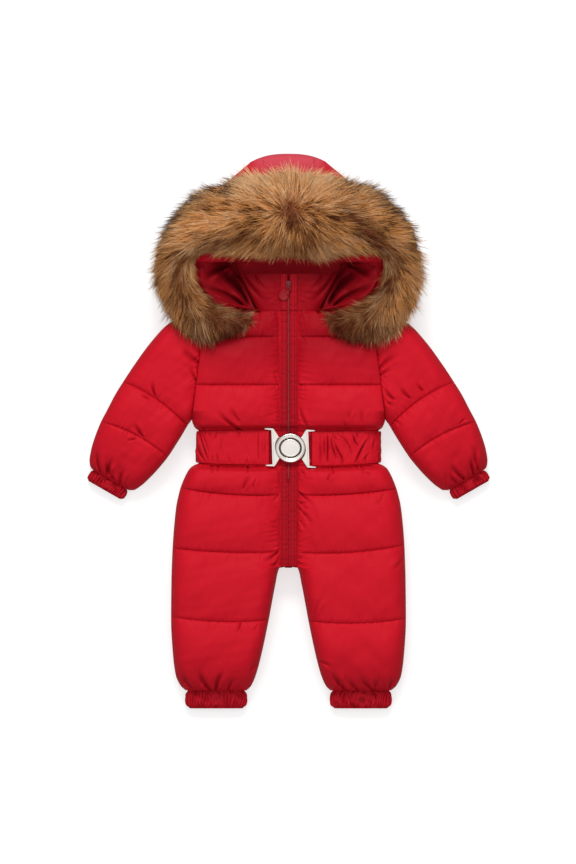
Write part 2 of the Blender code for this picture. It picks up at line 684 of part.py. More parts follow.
def belt():
    """A gathered band from one side of the buckle round the back to the other side."""
    half = column(TRUNK, "x_out", BELT_TOP_Y)

    def skins(side):
        """The inner and outer line of one half of the belt, from the buckle to the back."""
        start = BUCKLE_BAR_OUT + side * BUCKLE_X + GAP
        front = [*np.linspace(start, half - 6, BELT_GATHERS), *(half - np.array(STEPS_OUT[-3:]))]
        back = [*(half - np.array(STEPS_OUT[::-1])), half / 2, half / 6]
        line = np.array([(x, waist_front(x)) for x in front] + [(x, waist_back(x)) for x in back])
        along = np.gradient(line, axis=0)
        along /= np.linalg.norm(along, axis=1)[:, None]
        out = np.stack([-along[:, 1], along[:, 0]], axis=1)
        inner, outer = [], []
        for k, (place, normal) in enumerate(zip(line, out)):
            fold = BELT_FOLD * (1 if k % 2 else -1) if k < len(front) else 0
            x0, z0 = place + normal * GAP * 1.5
            x1, z1 = place + normal * (GAP + BELT_THICK + fold)
            inner.append((side * x0, z0))
            outer.append((side * x1, max(z1, 0.0)))
        return inner, outer

    (right_in, right_out), (left_in, left_out) = skins(-1), skins(1)
    inner, outer = right_in + left_in[::-1], right_out + left_out[::-1]
    edge, hem, thin = 0.2, 7, 0.65  # the belt is thinner along its two edges
    rows = [(BELT_TOP_Y - edge, thin), (BELT_TOP_Y - hem, 1),
            (BELT_BOTTOM_Y + hem, 1), (BELT_BOTTOM_Y + edge, thin)]

    def point(row, k, skin):
        """Points on the belt's thin edges stand out less, but for those on the floor."""
        y, share = row
        (x0, z0), (x1, z1) = inner[k], outer[k]
        share = skin * (share if z1 > 0 else 1)
        return x0 + (x1 - x0) * share, y, z0 + (z1 - z0) * share

    cols = range(len(inner))
    wall("belt", grid(rows, cols, lambda r, k: point(r, k, 1)),
         grid(rows, cols, lambda r, k: point(r, k, 0)), shell_cloth())


def apply_modifiers(obj):
    """Replace an object's mesh by the one that its modifiers make."""
    depsgraph = bpy.context.evaluated_depsgraph_get()
    made = bpy.data.meshes.new_from_object(obj.evaluated_get(depsgraph))
    obj.modifiers.clear()
    obj.data = made


def turned(name, profile, centre, finish, sides=48):
    """A solid turned round a vertical axis. The profile runs from the top down, in (radius, z)."""
    bm = bmesh.new()
    points = [bm.verts.new((r * MM, 0, z * MM)) for r, z in profile]
    for a, b in zip(points, points[1:]):
        bm.edges.new((a, b))
    mesh = bpy.data.meshes.new(name)
    bm.to_mesh(mesh)
    bm.free()
    obj = link(bpy.data.objects.new(name, mesh), finish)
    obj.location = Vector(centre) * MM
    screw = obj.modifiers.new("turn", "SCREW")
    screw.axis = "Z"
    screw.steps = screw.render_steps = sides
    screw.use_merge_vertices = True
    screw.merge_threshold = 0.00001
    screw.use_smooth_shade = True
    return obj


def flat_plate(name, outlines, low, high, bevel, finish):
    """A plate with closed outlines, from one height to another."""
    curve = bpy.data.curves.new(name, "CURVE")
    curve.dimensions = "2D"
    curve.fill_mode = "BOTH"
    curve.extrude = (high - low) / 2 * MM
    for outline in outlines:
        spline = curve.splines.new("POLY")
        spline.points.add(len(outline) - 1)
        for point, (x, y) in zip(spline.points, outline):
            point.co = (x * MM, y * MM, 0, 1)
        spline.use_cyclic_u = True
    guide = bpy.data.objects.new(name + "_outline", curve)
    bpy.context.scene.collection.objects.link(guide)
    depsgraph = bpy.context.evaluated_depsgraph_get()
    mesh = bpy.data.meshes.new_from_object(guide.evaluated_get(depsgraph))
    bpy.data.objects.remove(guide)
    bm = bmesh.new()
    bm.from_mesh(mesh)
    bmesh.ops.remove_doubles(bm, verts=bm.verts, dist=0.00001)
    bmesh.ops.dissolve_limit(bm, angle_limit=0.01, verts=bm.verts, edges=bm.edges)
    middle = (low + high) / 2 * MM
    bmesh.ops.translate(bm, verts=bm.verts, vec=(0, 0, middle))
    upper = [e for e in bm.edges if min(v.co.z for v in e.verts) > middle]
    rim = [e for e in upper if e.calc_face_angle(0) > 1.0]
    bmesh.ops.bevel(bm, geom=rim, offset=bevel * MM, segments=2, affect="EDGES", profile=0.5)
    return from_bmesh(name, bm, finish)


def buckle():
    """A round clasp: a plate on each side of the zip holds the belt's end, and the disc joins them."""
    reach = BUCKLE_DISC + GAP
    bend = math.radians(44)  # half the angle of the disc that a plate meets
    inner = [(-reach * math.cos(a), reach * math.sin(a)) for a in np.linspace(bend, -bend, 13)]
    tall, bar, flange = BUCKLE_TALL / 2, BUCKLE_BAR_OUT, BUCKLE_FLANGE
    plate = inner + [
        (-bar + 3.6, -tall), (-bar - flange, -tall), (-bar - flange, -tall + 2.9),
        (-bar, -tall + 3.4), (-bar, tall - 3.4), (-bar - flange, tall - 2.9), (-bar - flange, tall),
        (-bar + 3.6, tall),
    ]
    for side, sign in SIDES.items():
        outline = [(BUCKLE_X - sign * x, BUCKLE_Y + y) for x, y in plate]
        flat_plate(f"buckle_{side}", [outline], BUCKLE_Z, BUCKLE_Z + 3.2, 0.8, silver_metal())
    top = BUCKLE_Z + 7.6
    profile = [
        (0, top - 1.4), (13.5, top - 1.4), (15.2, top - 1.0), (16.2, top - 1.6), (16.6, top - 2.6),
        (17.4, top - 2.6), (17.8, top - 1.0), (19.0, top - 0.2), (21.0, top), (22.8, top - 0.6),
        (BUCKLE_DISC, top - 2.2), (BUCKLE_DISC, BUCKLE_Z - 1.0), (BUCKLE_DISC - 1.5, BUCKLE_Z - 1.8),
        (0, BUCKLE_Z - 1.8),
    ]
    turned("buckle_disc", profile, (BUCKLE_X, BUCKLE_Y, 0), silver_metal())


# ---------------------------------------------------------------- slider and pull

def box(bm, low, high):
    """Add a box between two corners to a mesh."""
    low, high = np.array(low, float), np.array(high, float)
    made = bmesh.ops.create_cube(bm, size=1)["verts"]
    bmesh.ops.scale(bm, vec=high - low, verts=made)
    bmesh.ops.translate(bm, vec=(low + high) / 2, verts=made)


def boxes(name, corners):
    """A mesh of one box for each pair of corners, in millimetres."""
    bm = bmesh.new()
    for low, high in corners:
        box(bm, low, high)
    mesh = bpy.data.meshes.new(name)
    bm.to_mesh(mesh)
    bm.free()
    return mesh


def slider_and_pull():
    """The closed zip's slider, with a bridge that the pull's bar turns in, and the pull: an eye, a
    link that steps down to the placket, and a round tab."""
    strip_top = front_z(SLIDER_Y) + GAP + PLACKET_THICK
    floor = strip_top + GAP
    wide, back, front = 4.4, SLIDER_Y - 6.5, SLIDER_Y + 6.5
    outline = [(-wide * 0.62, back), (wide * 0.62, back), (wide, front - 4), (wide * 0.8, front),
               (-wide * 0.8, front), (-wide, front - 4)]
    body = flat_plate("zip_slider", [outline], floor, floor + 2.2, 0.5, silver_metal())
    low, high = BRIDGE_Y
    for vertex in body.data.vertices:
        vertex.co /= MM
    join(body, boxes("bridge", [((-1.2, low, floor + 1.2), (1.2, high, floor + 6.4))]), "UNION")
    join(body, boxes("hole", [((-3, low + 1.3, floor + 2.2), (3, high - 1.3, floor + 5.2))]), "DIFFERENCE")
    for vertex in body.data.vertices:
        vertex.co *= MM

    axis_z = floor + 3.5
    bar = PULL_THICK / 2  # half the thickness of the eye and of its bar
    disc_low = front_z(PULL_Y) + GAP + PLACKET_THICK + GAP
    disc_high = disc_low + PULL_THICK + 0.8
    bm = bmesh.new()
    bmesh.ops.create_cone(bm, cap_ends=True, segments=32, radius1=PULL_RADIUS, radius2=PULL_RADIUS,
                          depth=disc_high - disc_low)
    bmesh.ops.translate(bm, vec=(PULL_X, PULL_Y, (disc_low + disc_high) / 2), verts=bm.verts)
    disc = bpy.data.meshes.new("disc")
    bm.to_mesh(disc)
    bm.free()
    eye = ((-3.3, PULL_AXIS_Y - 7.9, axis_z - bar), (3.3, PULL_AXIS_Y + bar, axis_z + bar))
    window = ((-1.9, PULL_AXIS_Y - 5.6, axis_z - 3), (1.9, PULL_AXIS_Y - bar, axis_z + 3))
    step = ((-3.0, PULL_Y + 2, disc_low + 0.4), (1.2, back - 0.6, axis_z + bar))
    pull = link(bpy.data.objects.new("zip_pull", boxes("zip_pull", [eye])), trim_cloth())
    join(pull, boxes("step", [step]), "UNION")
    join(pull, disc, "UNION")
    join(pull, boxes("window", [window]), "DIFFERENCE")
    for vertex in pull.data.vertices:
        vertex.co = (vertex.co - Vector((0, PULL_AXIS_Y, axis_z))) * MM
    pull.location = Vector((0, PULL_AXIS_Y, axis_z)) * MM


def join(obj, mesh, operation):
    """Unite a mesh with an object, or cut it away."""
    other = bpy.data.objects.new("other", mesh)
    bpy.context.scene.collection.objects.link(other)
    cut = obj.modifiers.new("cut", "BOOLEAN")
    cut.operation = operation
    cut.object = other
    apply_modifiers(obj)
    bpy.data.objects.remove(other)


# ---------------------------------------------------------------- fur trim

def covered(names):
    """A function for the height of what lies under a place: the highest of the named pieces
    within a short reach of it."""
    trees = []
    for name in names:
        mesh = bpy.data.objects[name].data
        faces = [tuple(p.vertices) for p in mesh.polygons]
        trees.append(BVHTree.FromPolygons([v.co / MM for v in mesh.vertices], faces))
    spots = [(0, 0)] + [
        (reach * math.cos(a), reach * math.sin(a))
        for reach in (6, 12) for a in np.linspace(0, 2 * math.pi, 8, endpoint=False)
    ]

    def height(x, y):
        best = 0.0
        for dx, dy in spots:
            for tree in trees:
                hit = tree.ray_cast(Vector((x + dx, y + dy, 400)), Vector((0, 0, -1)))[0]
                if hit is not None:
                    best = max(best, hit.z)
        return best

    return height


def fur():
    """The trim's hair as one body: locks round its outer edge, over the hood and shoulders."""
    under = covered(["hood_middle", "hood_right", "hood_left", "bodice_front_right",
                     "bodice_front_left", "sleeve_front_right", "sleeve_front_left",
                     "collar_front_right", "collar_front_left"])
    last = len(FUR) - 1
    up = (0.07, 0.2, 0.36, 0.54, 0.72, 0.87, 0.96)
    down = (0.9, 0.7, 0.5, 0.3, 0.1)

    def value(name, u):
        return smooth(range(len(FUR)), [getattr(row, name) for row in FUR], u)

    def section(k, u):
        side, u = math.copysign(1, u), abs(u)
        inner = np.array([side * value("in_x", u) + FUR_X, value("in_y", u)])
        outer = np.array([side * value("out_x", u) + FUR_X, value("out_y", u)])
        lock = FUR_LOCK if k % 2 else -FUR_LOCK
        reach = outer - inner
        outer = outer + reach / np.linalg.norm(reach) * lock
        ridge = value("ridge", u) + lock * 0.3
        edge = [inner + (outer - inner) * s for s in (0, 1)]
        edge_z = [max(under(*edge[0]) + 7, 76.0), max(under(*edge[1]) + 7, FUR_HEM_Z + 16)]
        points = [(*edge[0], edge_z[0])]
        for s in up:
            x, y = inner + (outer - inner) * s
            base = edge_z[0] + (edge_z[1] - edge_z[0]) * s
            dome = (1 - abs(2 * s**0.85 - 1) ** 2.6) ** (1 / 2.0)
            points.append((x, y, base + (ridge - base) * dome))
        points.append((*edge[1], edge_z[1]))
        for s in down:
            x, y = inner + (outer - inner) * s
            hem = FUR_FACE_Z + (FUR_HEM_Z - FUR_FACE_Z) * s
            points.append((x, y, max(under(x, y) + 0.8, hem)))
        return points

    places = np.linspace(-last, last, 2 * FUR_LOCKS + 1)
    sections = [section(k, u) for k, u in enumerate(places)]
    bm = bmesh.new()
    rings = [[bm.verts.new(Vector(p) * MM) for p in section] for section in sections]
    count = len(rings[0])
    for low, high in zip(rings, rings[1:]):
        for c in range(count):
            d = (c + 1) % count
            bm.faces.new((low[c], low[d], high[d], high[c]))
    bm.faces.new(rings[0])
    bm.faces.new(rings[-1][::-1])
    from_bmesh("fur_trim", bm, fur_hair())


def build():
    for obj in list(bpy.data.objects):
        bpy.data.objects.remove(obj)
    collection = bpy.data.collections.new("ski_suit")
    bpy.context.scene.collection.children.link(collection)
    bodice()
    trousers()
    sleeves()
    cuffs()
    collar()
    hood()
    placket()
    belt()
    buckle()
    slider_and_pull()
    fur()


build()
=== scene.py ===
"""A kids' padded one-piece ski suit with a fur-trimmed hood, laid flat on its back.

The packed part is loaded as a fixed frame, and each soft piece is built over its solid, in the
part's own frame: +X is the wearer's left, +Y points to the hood and +Z up. Sizes in the tables
and functions are in millimetres, and MM turns them into Blender's metres.
"""

import math
from collections import namedtuple
from contextlib import contextmanager

import bmesh
import bpy
import numpy as np
from bpy.props import FloatProperty, FloatVectorProperty, IntProperty, PointerProperty
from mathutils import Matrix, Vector
from mathutils.bvhtree import BVHTree


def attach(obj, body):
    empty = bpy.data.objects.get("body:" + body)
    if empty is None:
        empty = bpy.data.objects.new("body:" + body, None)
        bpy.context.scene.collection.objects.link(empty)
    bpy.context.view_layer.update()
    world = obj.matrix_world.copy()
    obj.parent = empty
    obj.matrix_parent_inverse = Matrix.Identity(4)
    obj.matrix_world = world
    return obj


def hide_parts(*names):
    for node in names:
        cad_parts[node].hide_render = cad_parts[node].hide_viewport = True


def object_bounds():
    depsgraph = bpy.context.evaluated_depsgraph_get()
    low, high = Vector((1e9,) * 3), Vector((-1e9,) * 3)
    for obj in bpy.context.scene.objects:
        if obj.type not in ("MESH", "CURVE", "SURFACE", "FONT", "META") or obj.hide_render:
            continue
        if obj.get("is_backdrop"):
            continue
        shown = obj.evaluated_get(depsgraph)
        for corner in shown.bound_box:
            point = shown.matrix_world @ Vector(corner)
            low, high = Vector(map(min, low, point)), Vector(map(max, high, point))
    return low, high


bl_info = {
    "name": "Padded ski suit",
    "version": (1, 0, 0),
    "blender": (4, 5, 0),
    "location": "View3D > Sidebar > Ski suit",
    "description": "Dresses the packed ski suit in cloth, fur and metal",
    "category": "Add Mesh",
}

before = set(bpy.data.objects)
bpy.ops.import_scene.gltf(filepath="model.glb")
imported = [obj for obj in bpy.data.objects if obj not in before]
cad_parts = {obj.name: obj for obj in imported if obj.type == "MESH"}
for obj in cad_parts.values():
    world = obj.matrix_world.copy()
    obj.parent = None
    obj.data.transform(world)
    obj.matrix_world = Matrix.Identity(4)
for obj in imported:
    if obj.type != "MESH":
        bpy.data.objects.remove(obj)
PACKED_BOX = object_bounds()

MM = 0.001
GAP = 0.3
EDGE = 1.2
SIDES = {"right": -1, "left": 1}  # the wearer's sides, and their sign in X

NECK_Y, WAIST_Y, CROTCH_Y = 192.0, -27.2, -219.0
CROWN_Y, HEM_Y = 445.0, -445.0
BELT_TOP_Y, BELT_BOTTOM_Y = 0.0, -54.4
ARMPIT_Y, ANKLE_Y = 18.0, -416.0
BODY_SEAM_Z, WAIST_SEAM_Z, ANKLE_SEAM_Z, WRIST_SEAM_Z = 32.0, 26.0, 10.0, 9.5
LEG_DROP_Y = -326.0  # the legs' side seam bends down to the floor from here

CHEST_SEAMS = (NECK_Y, 150.4, 73.6, BELT_TOP_Y + GAP)
LEG_SEAMS = (BELT_BOTTOM_Y - GAP, -99.0, -193.6, -304.0, ANKLE_Y)

# The trunk and legs, as in the part's source
Section = namedtuple("Section", "y x_out x_in puff pinch channel lift")
TRUNK = [Section(*row) for row in (
    (192, 132.2, 0.15, 30, 20, 18, 0), (150.4, 137.5, 0.15, 38, 23, 20.5, 0),
    (112, 142.5, 0.15, 40, 24, 21, 0), (73.6, 147.5, 0.15, 40, 24, 21, 0),
    (37, 152, 0.15, 40, 24, 21, 0), (18, 154.6, 0.15, 39, 23, 20, 0),
    (9, 152, 0.15, 37, 22, 18.5, 0), (4.2, 149, 0.15, 19, 15, 13.5, 2),
    (0.3, 144, 0.15, 30, 18, 14, 4.6), (-27.2, 144, 0.15, 30, 18, 14, 4.6),
    (-54.7, 144, 0.15, 30, 18, 14, 4.6), (-58.6, 151, 0.15, 17, 15, 13.5, 2),
    (-64, 157.6, 0.15, 36, 21, 18, 0), (-83.2, 167.2, 0.15, 38, 23, 19, 0),
    (-107, 175, 0.15, 39, 23, 20, 0), (-131, 180, 0.15, 40, 24, 20, 0),
    (-193.6, 185.5, 0.15, 40, 24, 20, 0), (-217, 186.5, 0.15, 40, 24, 16, 0),
    (-219, 186.6, 14.5, 40, 24, 15, 0), (-246, 187.4, 21, 39, 24, 15, 0),
    (-304, 188, 32, 38, 23, 15, 0), (-352, 185.5, 42, 36, 21, 15, 0),
    (-390.4, 181, 52, 33, 17, 12, 0), (-409.6, 172.5, 60.5, 24, 12, 11, 0),
    (-416, 165, 67, 14, 9, 9, 0),
)]

Ring = namedtuple("Ring", "over_x over_y under_x under_y puff pinch")
SLEEVE = [Ring(*row) for row in (
    (132.5, 194, 154.9, 18, 34, 20), (165, 186, 156, 16.5, 34, 21), (193, 171, 157, 15, 34, 21),
    (220, 142.4, 158.3, 13.3, 34, 21), (245, 108.5, 159.8, 11.5, 34, 21),
    (264.5, 79, 162, 8, 34, 21), (277, 59, 169.5, -5, 34, 21), (289.5, 35, 181, -23.5, 33, 20),
    (300, 15, 193, -41.6, 32, 20), (309, -6.4, 207, -58.8, 32, 19),
    (316.5, -30, 222, -74.8, 30, 16), (319.3, -47, 238, -89, 24, 12),
    (318.3, -56, 249, -95, 18, 10), (315.3, -61.2, 256.3, -95, 12, 8.5),
)]
SLEEVE_SEAMS = (0, 5, 8, 13)

HoodSection = namedtuple("HoodSection", "y half top rim")
HOOD_WALL, HOOD_STRIP, HOOD_SQUARENESS, HOOD_END_Y = 8.0, 40.0, 4.0, 431.0
HOOD_RIM = HOOD_STRIP + GAP
HOOD = [HoodSection(*row) for row in (
    (192.5, 66, 66, 46), (199, 108, 67, 80), (207, 134, 69, 110), (221, 153, 71, 132),
    (240, 163, 73, 141), (257, 166, 74, 140), (268, 166, 75, 130), (272, 166, 75, HOOD_RIM),
    (300, 162, 76, HOOD_RIM), (340, 147, 74, HOOD_RIM), (380, 118, 64, HOOD_RIM),
    (408, 88, 50, HOOD_RIM), (HOOD_END_Y, 61, 34, HOOD_RIM),
)]

FurSection = namedtuple("FurSection", "in_x in_y out_x out_y ridge")
FUR = [FurSection(*row) for row in (
    (0, 254, 0, 423, 126), (-30, 255, -58, 419, 125), (-62, 260, -112, 404, 124),
    (-94, 268, -158, 375, 122), (-122, 276, -193, 335, 120), (-140, 272, -211, 288, 117),
    (-145, 257, -215, 244, 114), (-141, 238, -207, 208, 111), (-129, 219, -186, 172, 108),
    (-108, 205, -150, 146, 106), (-84, 198, -112, 139, 104), (-66, 194, -80, 147, 99),
    (-52, 191, -60, 166, 90),
)]
FUR_X = 0.6
FUR_FACE_Z = 68.0
WHORL = (5.6, 350.0)  # where the hair of the trim parts

COLLAR_TOP_Y = 251.0
COLLAR_HALF = (50.0, 78.0)
COLLAR_BASE_Z, COLLAR_TOP_Z, COLLAR_WALL = 8.4, (52.5, 56.0), 8.0

PLACKET_WIDTH, PLACKET_BED, PLACKET_THICK = (12.4, 13.6), 14.2, 3.0
ZIP_TOP_Y, ZIP_STOP_Y, ZIP_HALF = 240.0, -80.0, 1.8
STITCH_LINES, BOX_Y = (4.0, 9.6), -93.0  # the placket's seams, from the middle of the front

BUCKLE_X, BUCKLE_Y, BUCKLE_Z = 3.0, -27.2, 46.6
BUCKLE_DISC, BUCKLE_TALL, BUCKLE_BAR_OUT, BUCKLE_FLANGE = 24.0, 61.6, 29.8, 10.4
BELT_THICK = 3.4

SLIDER_Y = 233.0
PULL_AXIS_Y, PULL_THICK, PULL_RADIUS = 231.9, 1.4, 8.0
PULL_X, PULL_Y = -7.6, 216.4

# The main creases of each panel, from the deep end to the fading end
Crease = namedtuple("Crease", "x0 y0 x1 y1 depth width")
CREASES = {part: [Crease(*row) for row in rows] for part, rows in {
    "bodice_right": (
        (-73.4, 0.6, -112, 29.6, 3.6, 4), (-77.6, 15, -93, 38.4, 1.9, 3.6),
        (-133.6, 3.2, -144, 10, 2, 3), (-14.4, 71, -21, 95, 1.8, 3),
        (-15.2, 73.6, -28, 66, 1.4, 2.6),
    ),
    "bodice_left": (
        (31.5, 6, 16.5, 38.4, 2.8, 4), (20.8, 2, 15, 14, 1.6, 2.6), (95.2, 3, 87.2, 17, 1.8, 3.2),
        (117, 14, 119.4, 35, 1.6, 4), (95.8, 19, 100, 33, 1.4, 4), (22, 69.5, 16, 78, 1.6, 2.6),
    ),
    "sleeve_right": (
        (-212.3, 55, -217, 77, 3.2, 3.6), (-222, 50, -236, 60, 1.8, 3.2),
        (-232, -9, -245, 11, 2.8, 4), (-243, -12.3, -259, -14.5, 1.7, 3),
        (-144.5, 75, -155, 103, 2.8, 3.2), (-141, 107, -169, 134, 3.4, 7.5),
        (-301.6, -66, -306.2, -32.2, 4.1, 4.8), (-290.4, -72, -281.8, -45, 4.1, 5.1),
        (-280.8, -77, -293.2, -46, 3.2, 4.8), (-270, -84, -264.6, -62.4, 3.5, 5.4),
        (-162, 12, -173, 22, 1.6, 4),
    ),
    "sleeve_left": (
        (194.2, 52, 177.8, 68, 2.6, 4.2), (214.4, 64, 206, 75, 2.8, 3.2),
        (168.5, 50.2, 151, 68, 3, 4.6), (143, 98, 172, 121, 3.2, 5.2),
        (145, 88, 165, 97, 2.4, 3.2), (156, 46, 168, 37, 2, 4), (168, 18, 180, 6.5, 2.2, 3.2),
        (272, 11, 285, 20, 1.6, 2.6), (304.5, -63, 298.4, -26.5, 4.3, 5.1),
        (297.1, -71, 292.9, -40, 3.8, 4.8), (283.2, -78, 260, -55, 3.8, 5.8),
        (271, -84, 258.9, -70.5, 3, 5.1),
    ),
    "trousers_right": (
        (-72, -92, -60, -70, 2.2, 5), (-14.6, -190, -38, -208, 2.8, 3.6),
        (-15, -204, -28, -218.5, 2.4, 3.2), (-76.6, -305.6, -82, -321, 2, 2.6),
        (-49, -308, -54.5, -319, 1.4, 2.6), (-124.5, -416, -142.7, -386.3, 4.6, 5.8),
        (-117, -416, -106.2, -386.3, 4.6, 5.8), (-154, -413, -170.2, -387.4, 3.2, 5.8),
        (-60, -384, -49, -369, 2.2, 4.2), (-97, -416, -87.5, -395.8, 3, 5.1),
        (-57, -90, -49, -75, 1.4, 2.6), (-123, -55, -121, -68, 2, 3),
        (-112.5, -55, -114, -66, 2, 3), (-65.6, -55, -66, -68, 2.2, 3),
        (-14.6, -101, -26, -112, 1.6, 3), (-14.6, -150, -30, -140, 1.2, 3.4),
    ),
    "trousers_left": (
        (14.4, -97, 38, -119, 3.2, 3.2), (15, -123, 38, -152, 2.4, 4.2),
        (14.4, -110.4, 27, -126, 1.8, 2.6), (151, -101, 139, -119, 1.9, 3.2),
        (184, -199, 167, -222, 1.9, 4.2), (40.5, -292, 55, -265, 1.9, 4.2),
        (62, -79, 72, -63, 1.9, 4.2), (128.8, -70, 122, -60, 1.6, 3.2),
        (17, -204.5, 29, -193, 1.6, 3), (47, -367, 70, -379.5, 2, 4),
        (93, -416, 70, -386.3, 4.6, 5.8), (136, -416, 118.5, -395.8, 3.8, 5.1),
        (138.5, -416, 141.9, -397.1, 3.5, 4.2), (112, -416, 97.2, -398.4, 3.2, 5.1),
        (161, -414, 166.4, -397.8, 3, 4.2), (68.8, -56, 71.2, -72, 2, 2.8),
        (115.4, -56, 121, -70, 2, 2.8), (18.4, -60, 25, -74, 2.2, 3),
        (107.5, -54, 108, -60, 1.8, 3.2), (14.6, -140, 27, -160, 1.6, 3),
    ),
}.items()}


Fold = namedtuple("Fold", "points depth width")
BELT_FOLDS = [Fold(*row) for row in (
    (((-139.8, -2), (-136.8, -19), (-131.5, -35.5), (-128, -49)), 2.2, 1.5),
    (((-143, -27), (-138.6, -40.7), (-131, -53)), 2, 1.4),
    (((-136, -3), (-131.5, -19), (-126, -38)), 1.1, 1.3), (((-114, -1), (-117.5, -14)), 1.2, 1.3),
    (((-126, -2), (-125, -12)), 0.9, 1.3), (((-121.5, -40), (-120, -54)), 1.1, 1.3),
    (((-114.5, -36), (-112, -54)), 1.3, 1.4), (((-105, -5), (-108, -25), (-106, -40)), 0.7, 2.4),
    (((-94, -54), (-96, -38)), 0.8, 1.6), (((-78, -1), (-79, -12)), 0.7, 1.5),
    (((-66, -54), (-66, -42)), 0.9, 1.4), (((-47.9, 0), (-48.4, -24), (-47.6, -50)), 1.1, 1.1),
    (((-41.4, -2), (-41.6, -50)), 0.6, 1), (((-37.4, -2), (-37.6, -48)), 0.6, 1),
    (((50.5, -8), (51.2, -30), (51.8, -53)), 1.3, 1.8),
    (((56.7, -8), (57.2, -24), (57.4, -42)), 1.5, 1.1),
    (((62.4, -3), (62.7, -25), (62.6, -51)), 2.1, 1.2),
    (((67, -8), (70.6, -27), (77, -46)), 2.2, 1.4), (((70, -3), (77.4, -15)), 1.3, 1.4),
    (((72, -15), (78.5, -31), (85.3, -42), (86.4, -54)), 2.2, 1.4),
    (((76, -4), (90.1, -12.7), (96.9, -23.4), (102, -41)), 1.5, 1.5),
    (((102, -4), (105.6, -16.6), (112, -26)), 2.2, 1.5), (((107, -1), (112.5, -13)), 1.3, 1.3),
    (((127, -11), (116.3, -29), (109.6, -44.6), (105, -54.5)), 2.3, 1.5),
    (((128, -36), (118, -50)), 1.5, 1.4), (((135, -12), (133.6, -32)), 1.4, 1.4),
    (((127.5, -2), (128, -18)), 0.8, 1.4), (((141.5, -36), (141.5, -52)), 1.3, 1.2),
    (((121, -54), (124, -44)), 1, 1.3),
)]


# ---------------------------------------------------------------- sizes and colours of the add-on

def length_of(name, about, default, low, high):
    return FloatProperty(name=name, description=about, default=default * MM, min=low * MM,
                         max=high * MM, subtype="DISTANCE", unit="LENGTH")


def colour_of(name, about, *default):
    return FloatVectorProperty(name=name, description=about, default=default, size=3, min=0,
                               max=1, subtype="COLOR")


class SuitSizes(bpy.types.PropertyGroup):
    """Sizes that change how the suit is sewn and how its hair grows."""

    tuck: length_of("Tuck depth", "How deep the small tucks along a quilting seam are", 1, 0, 4)
    hair: length_of("Hair length", "The length of the trim's guard hairs", 38, 10, 80)
    hair_count: IntProperty(
        name="Hairs", description="How many guard hairs each of the trim's six parts carries",
        default=3800, min=100, max=8000)
    stitch: length_of("Stitch length", "The length of one stitch", 2.3, 0.5, 6)
    camera_height: length_of("Camera height", "How high the camera stands over the suit",
                             8000, 1000, 40000)


class SuitColours(bpy.types.PropertyGroup):
    """Colours of the suit's finishes."""

    shell: colour_of("Shell cloth", "The red nylon of the suit", 0.605, 0.0078, 0.0205)
    trim: colour_of("Zip tape", "The darker red of the zip's tape and teeth", 0.27, 0.004, 0.010)
    hair_gold: colour_of("Hair, golden", "The light band of the trim's hairs", 0.96, 0.455, 0.14)
    hair_root: colour_of("Hair, root", "The brown wool at the hairs' roots", 0.33, 0.104, 0.040)
    hair_tip: colour_of("Hair, dark tip", "The tips of the outer hairs", 0.035, 0.028, 0.034)
    metal: colour_of("Buckle metal", "The plated metal of the buckle", 0.76, 0.72, 0.675)
    floor: colour_of("Floor", "The pale floor that the suit lies on", 0.50, 0.50, 0.50)


def sizes():
    return bpy.context.scene.suit_sizes


def colours():
    return bpy.context.scene.suit_colours


# ---------------------------------------------------------------- interpolation

def smooth(knots, values, at):
    """A curve through the values that never swings past them: cubics with limited slopes."""
    knots, values = np.asarray(knots, float), np.asarray(values, float)
    if knots[0] > knots[-1]:
        knots, values = knots[::-1], values[::-1]
    at = np.clip(at, knots[0], knots[-1])
    step = np.diff(knots)
    rise = np.diff(values) / step
    slope = np.concatenate([[rise[0]], np.zeros(len(rise) - 1), [rise[-1]]])
    same = rise[:-1] * rise[1:] > 0
    both = rise[:-1][same] + rise[1:][same]
    slope[1:-1][same] = 2 * rise[:-1][same] * rise[1:][same] / both
    i = np.clip(np.searchsorted(knots, at, side="right") - 1, 0, len(step) - 1)
    t = (at - knots[i]) / step[i]
    start = (1 + 2 * t) * (1 - t) ** 2 * values[i] + t * (1 - t) ** 2 * step[i] * slope[i]
    end = t**2 * (3 - 2 * t) * values[i + 1] + t**2 * (t - 1) * step[i] * slope[i + 1]
    return start + end


def column(table, name, y):
    """A named column of a table, read at a height y between its rows."""
    return smooth([row.y for row in table], [getattr(row, name) for row in table], y)


def fullness(place, seams):
    """0 on a quilting seam and 1 midway between two."""
    ordered = np.sort(np.asarray(seams, float))
    i = np.clip(np.searchsorted(ordered, place) - 1, 0, len(ordered) - 2)
    t = np.clip((place - ordered[i]) / (ordered[i + 1] - ordered[i]), 0, 1)
    return 1 - np.abs(2 * t - 1) ** 2.1


def rounded(distance, radius):
    """The share of its full height that a padded edge has at a distance in from it."""
    t = np.clip(np.asarray(distance, float) / radius, 0, 1)
    return (1 - (1 - t) ** 2.4) ** (1 / 2.1)


def baffle(puff, pinch, full):
    """The height of a quilted channel: a low crown between seams that are drawn in."""
    return puff - (puff - pinch) * 0.62 * (1 - 0.16 * np.minimum(full * 5, 1) ** 0.8 - 0.84 * full)


def points_of(*parts):
    """Arrays of coordinates, put together along a last axis."""
    return np.stack(parts, axis=-1)


def unit(vectors):
    """Vectors of length 1 that point the same way."""
    return vectors / np.maximum(np.linalg.norm(vectors, axis=-1, keepdims=True), 1e-6)


def eased(at, start, end):
    """0 before start and 1 after end, without a corner."""
    t = np.clip((at - start) / (end - start), 0, 1)
    return t * t * (3 - 2 * t)


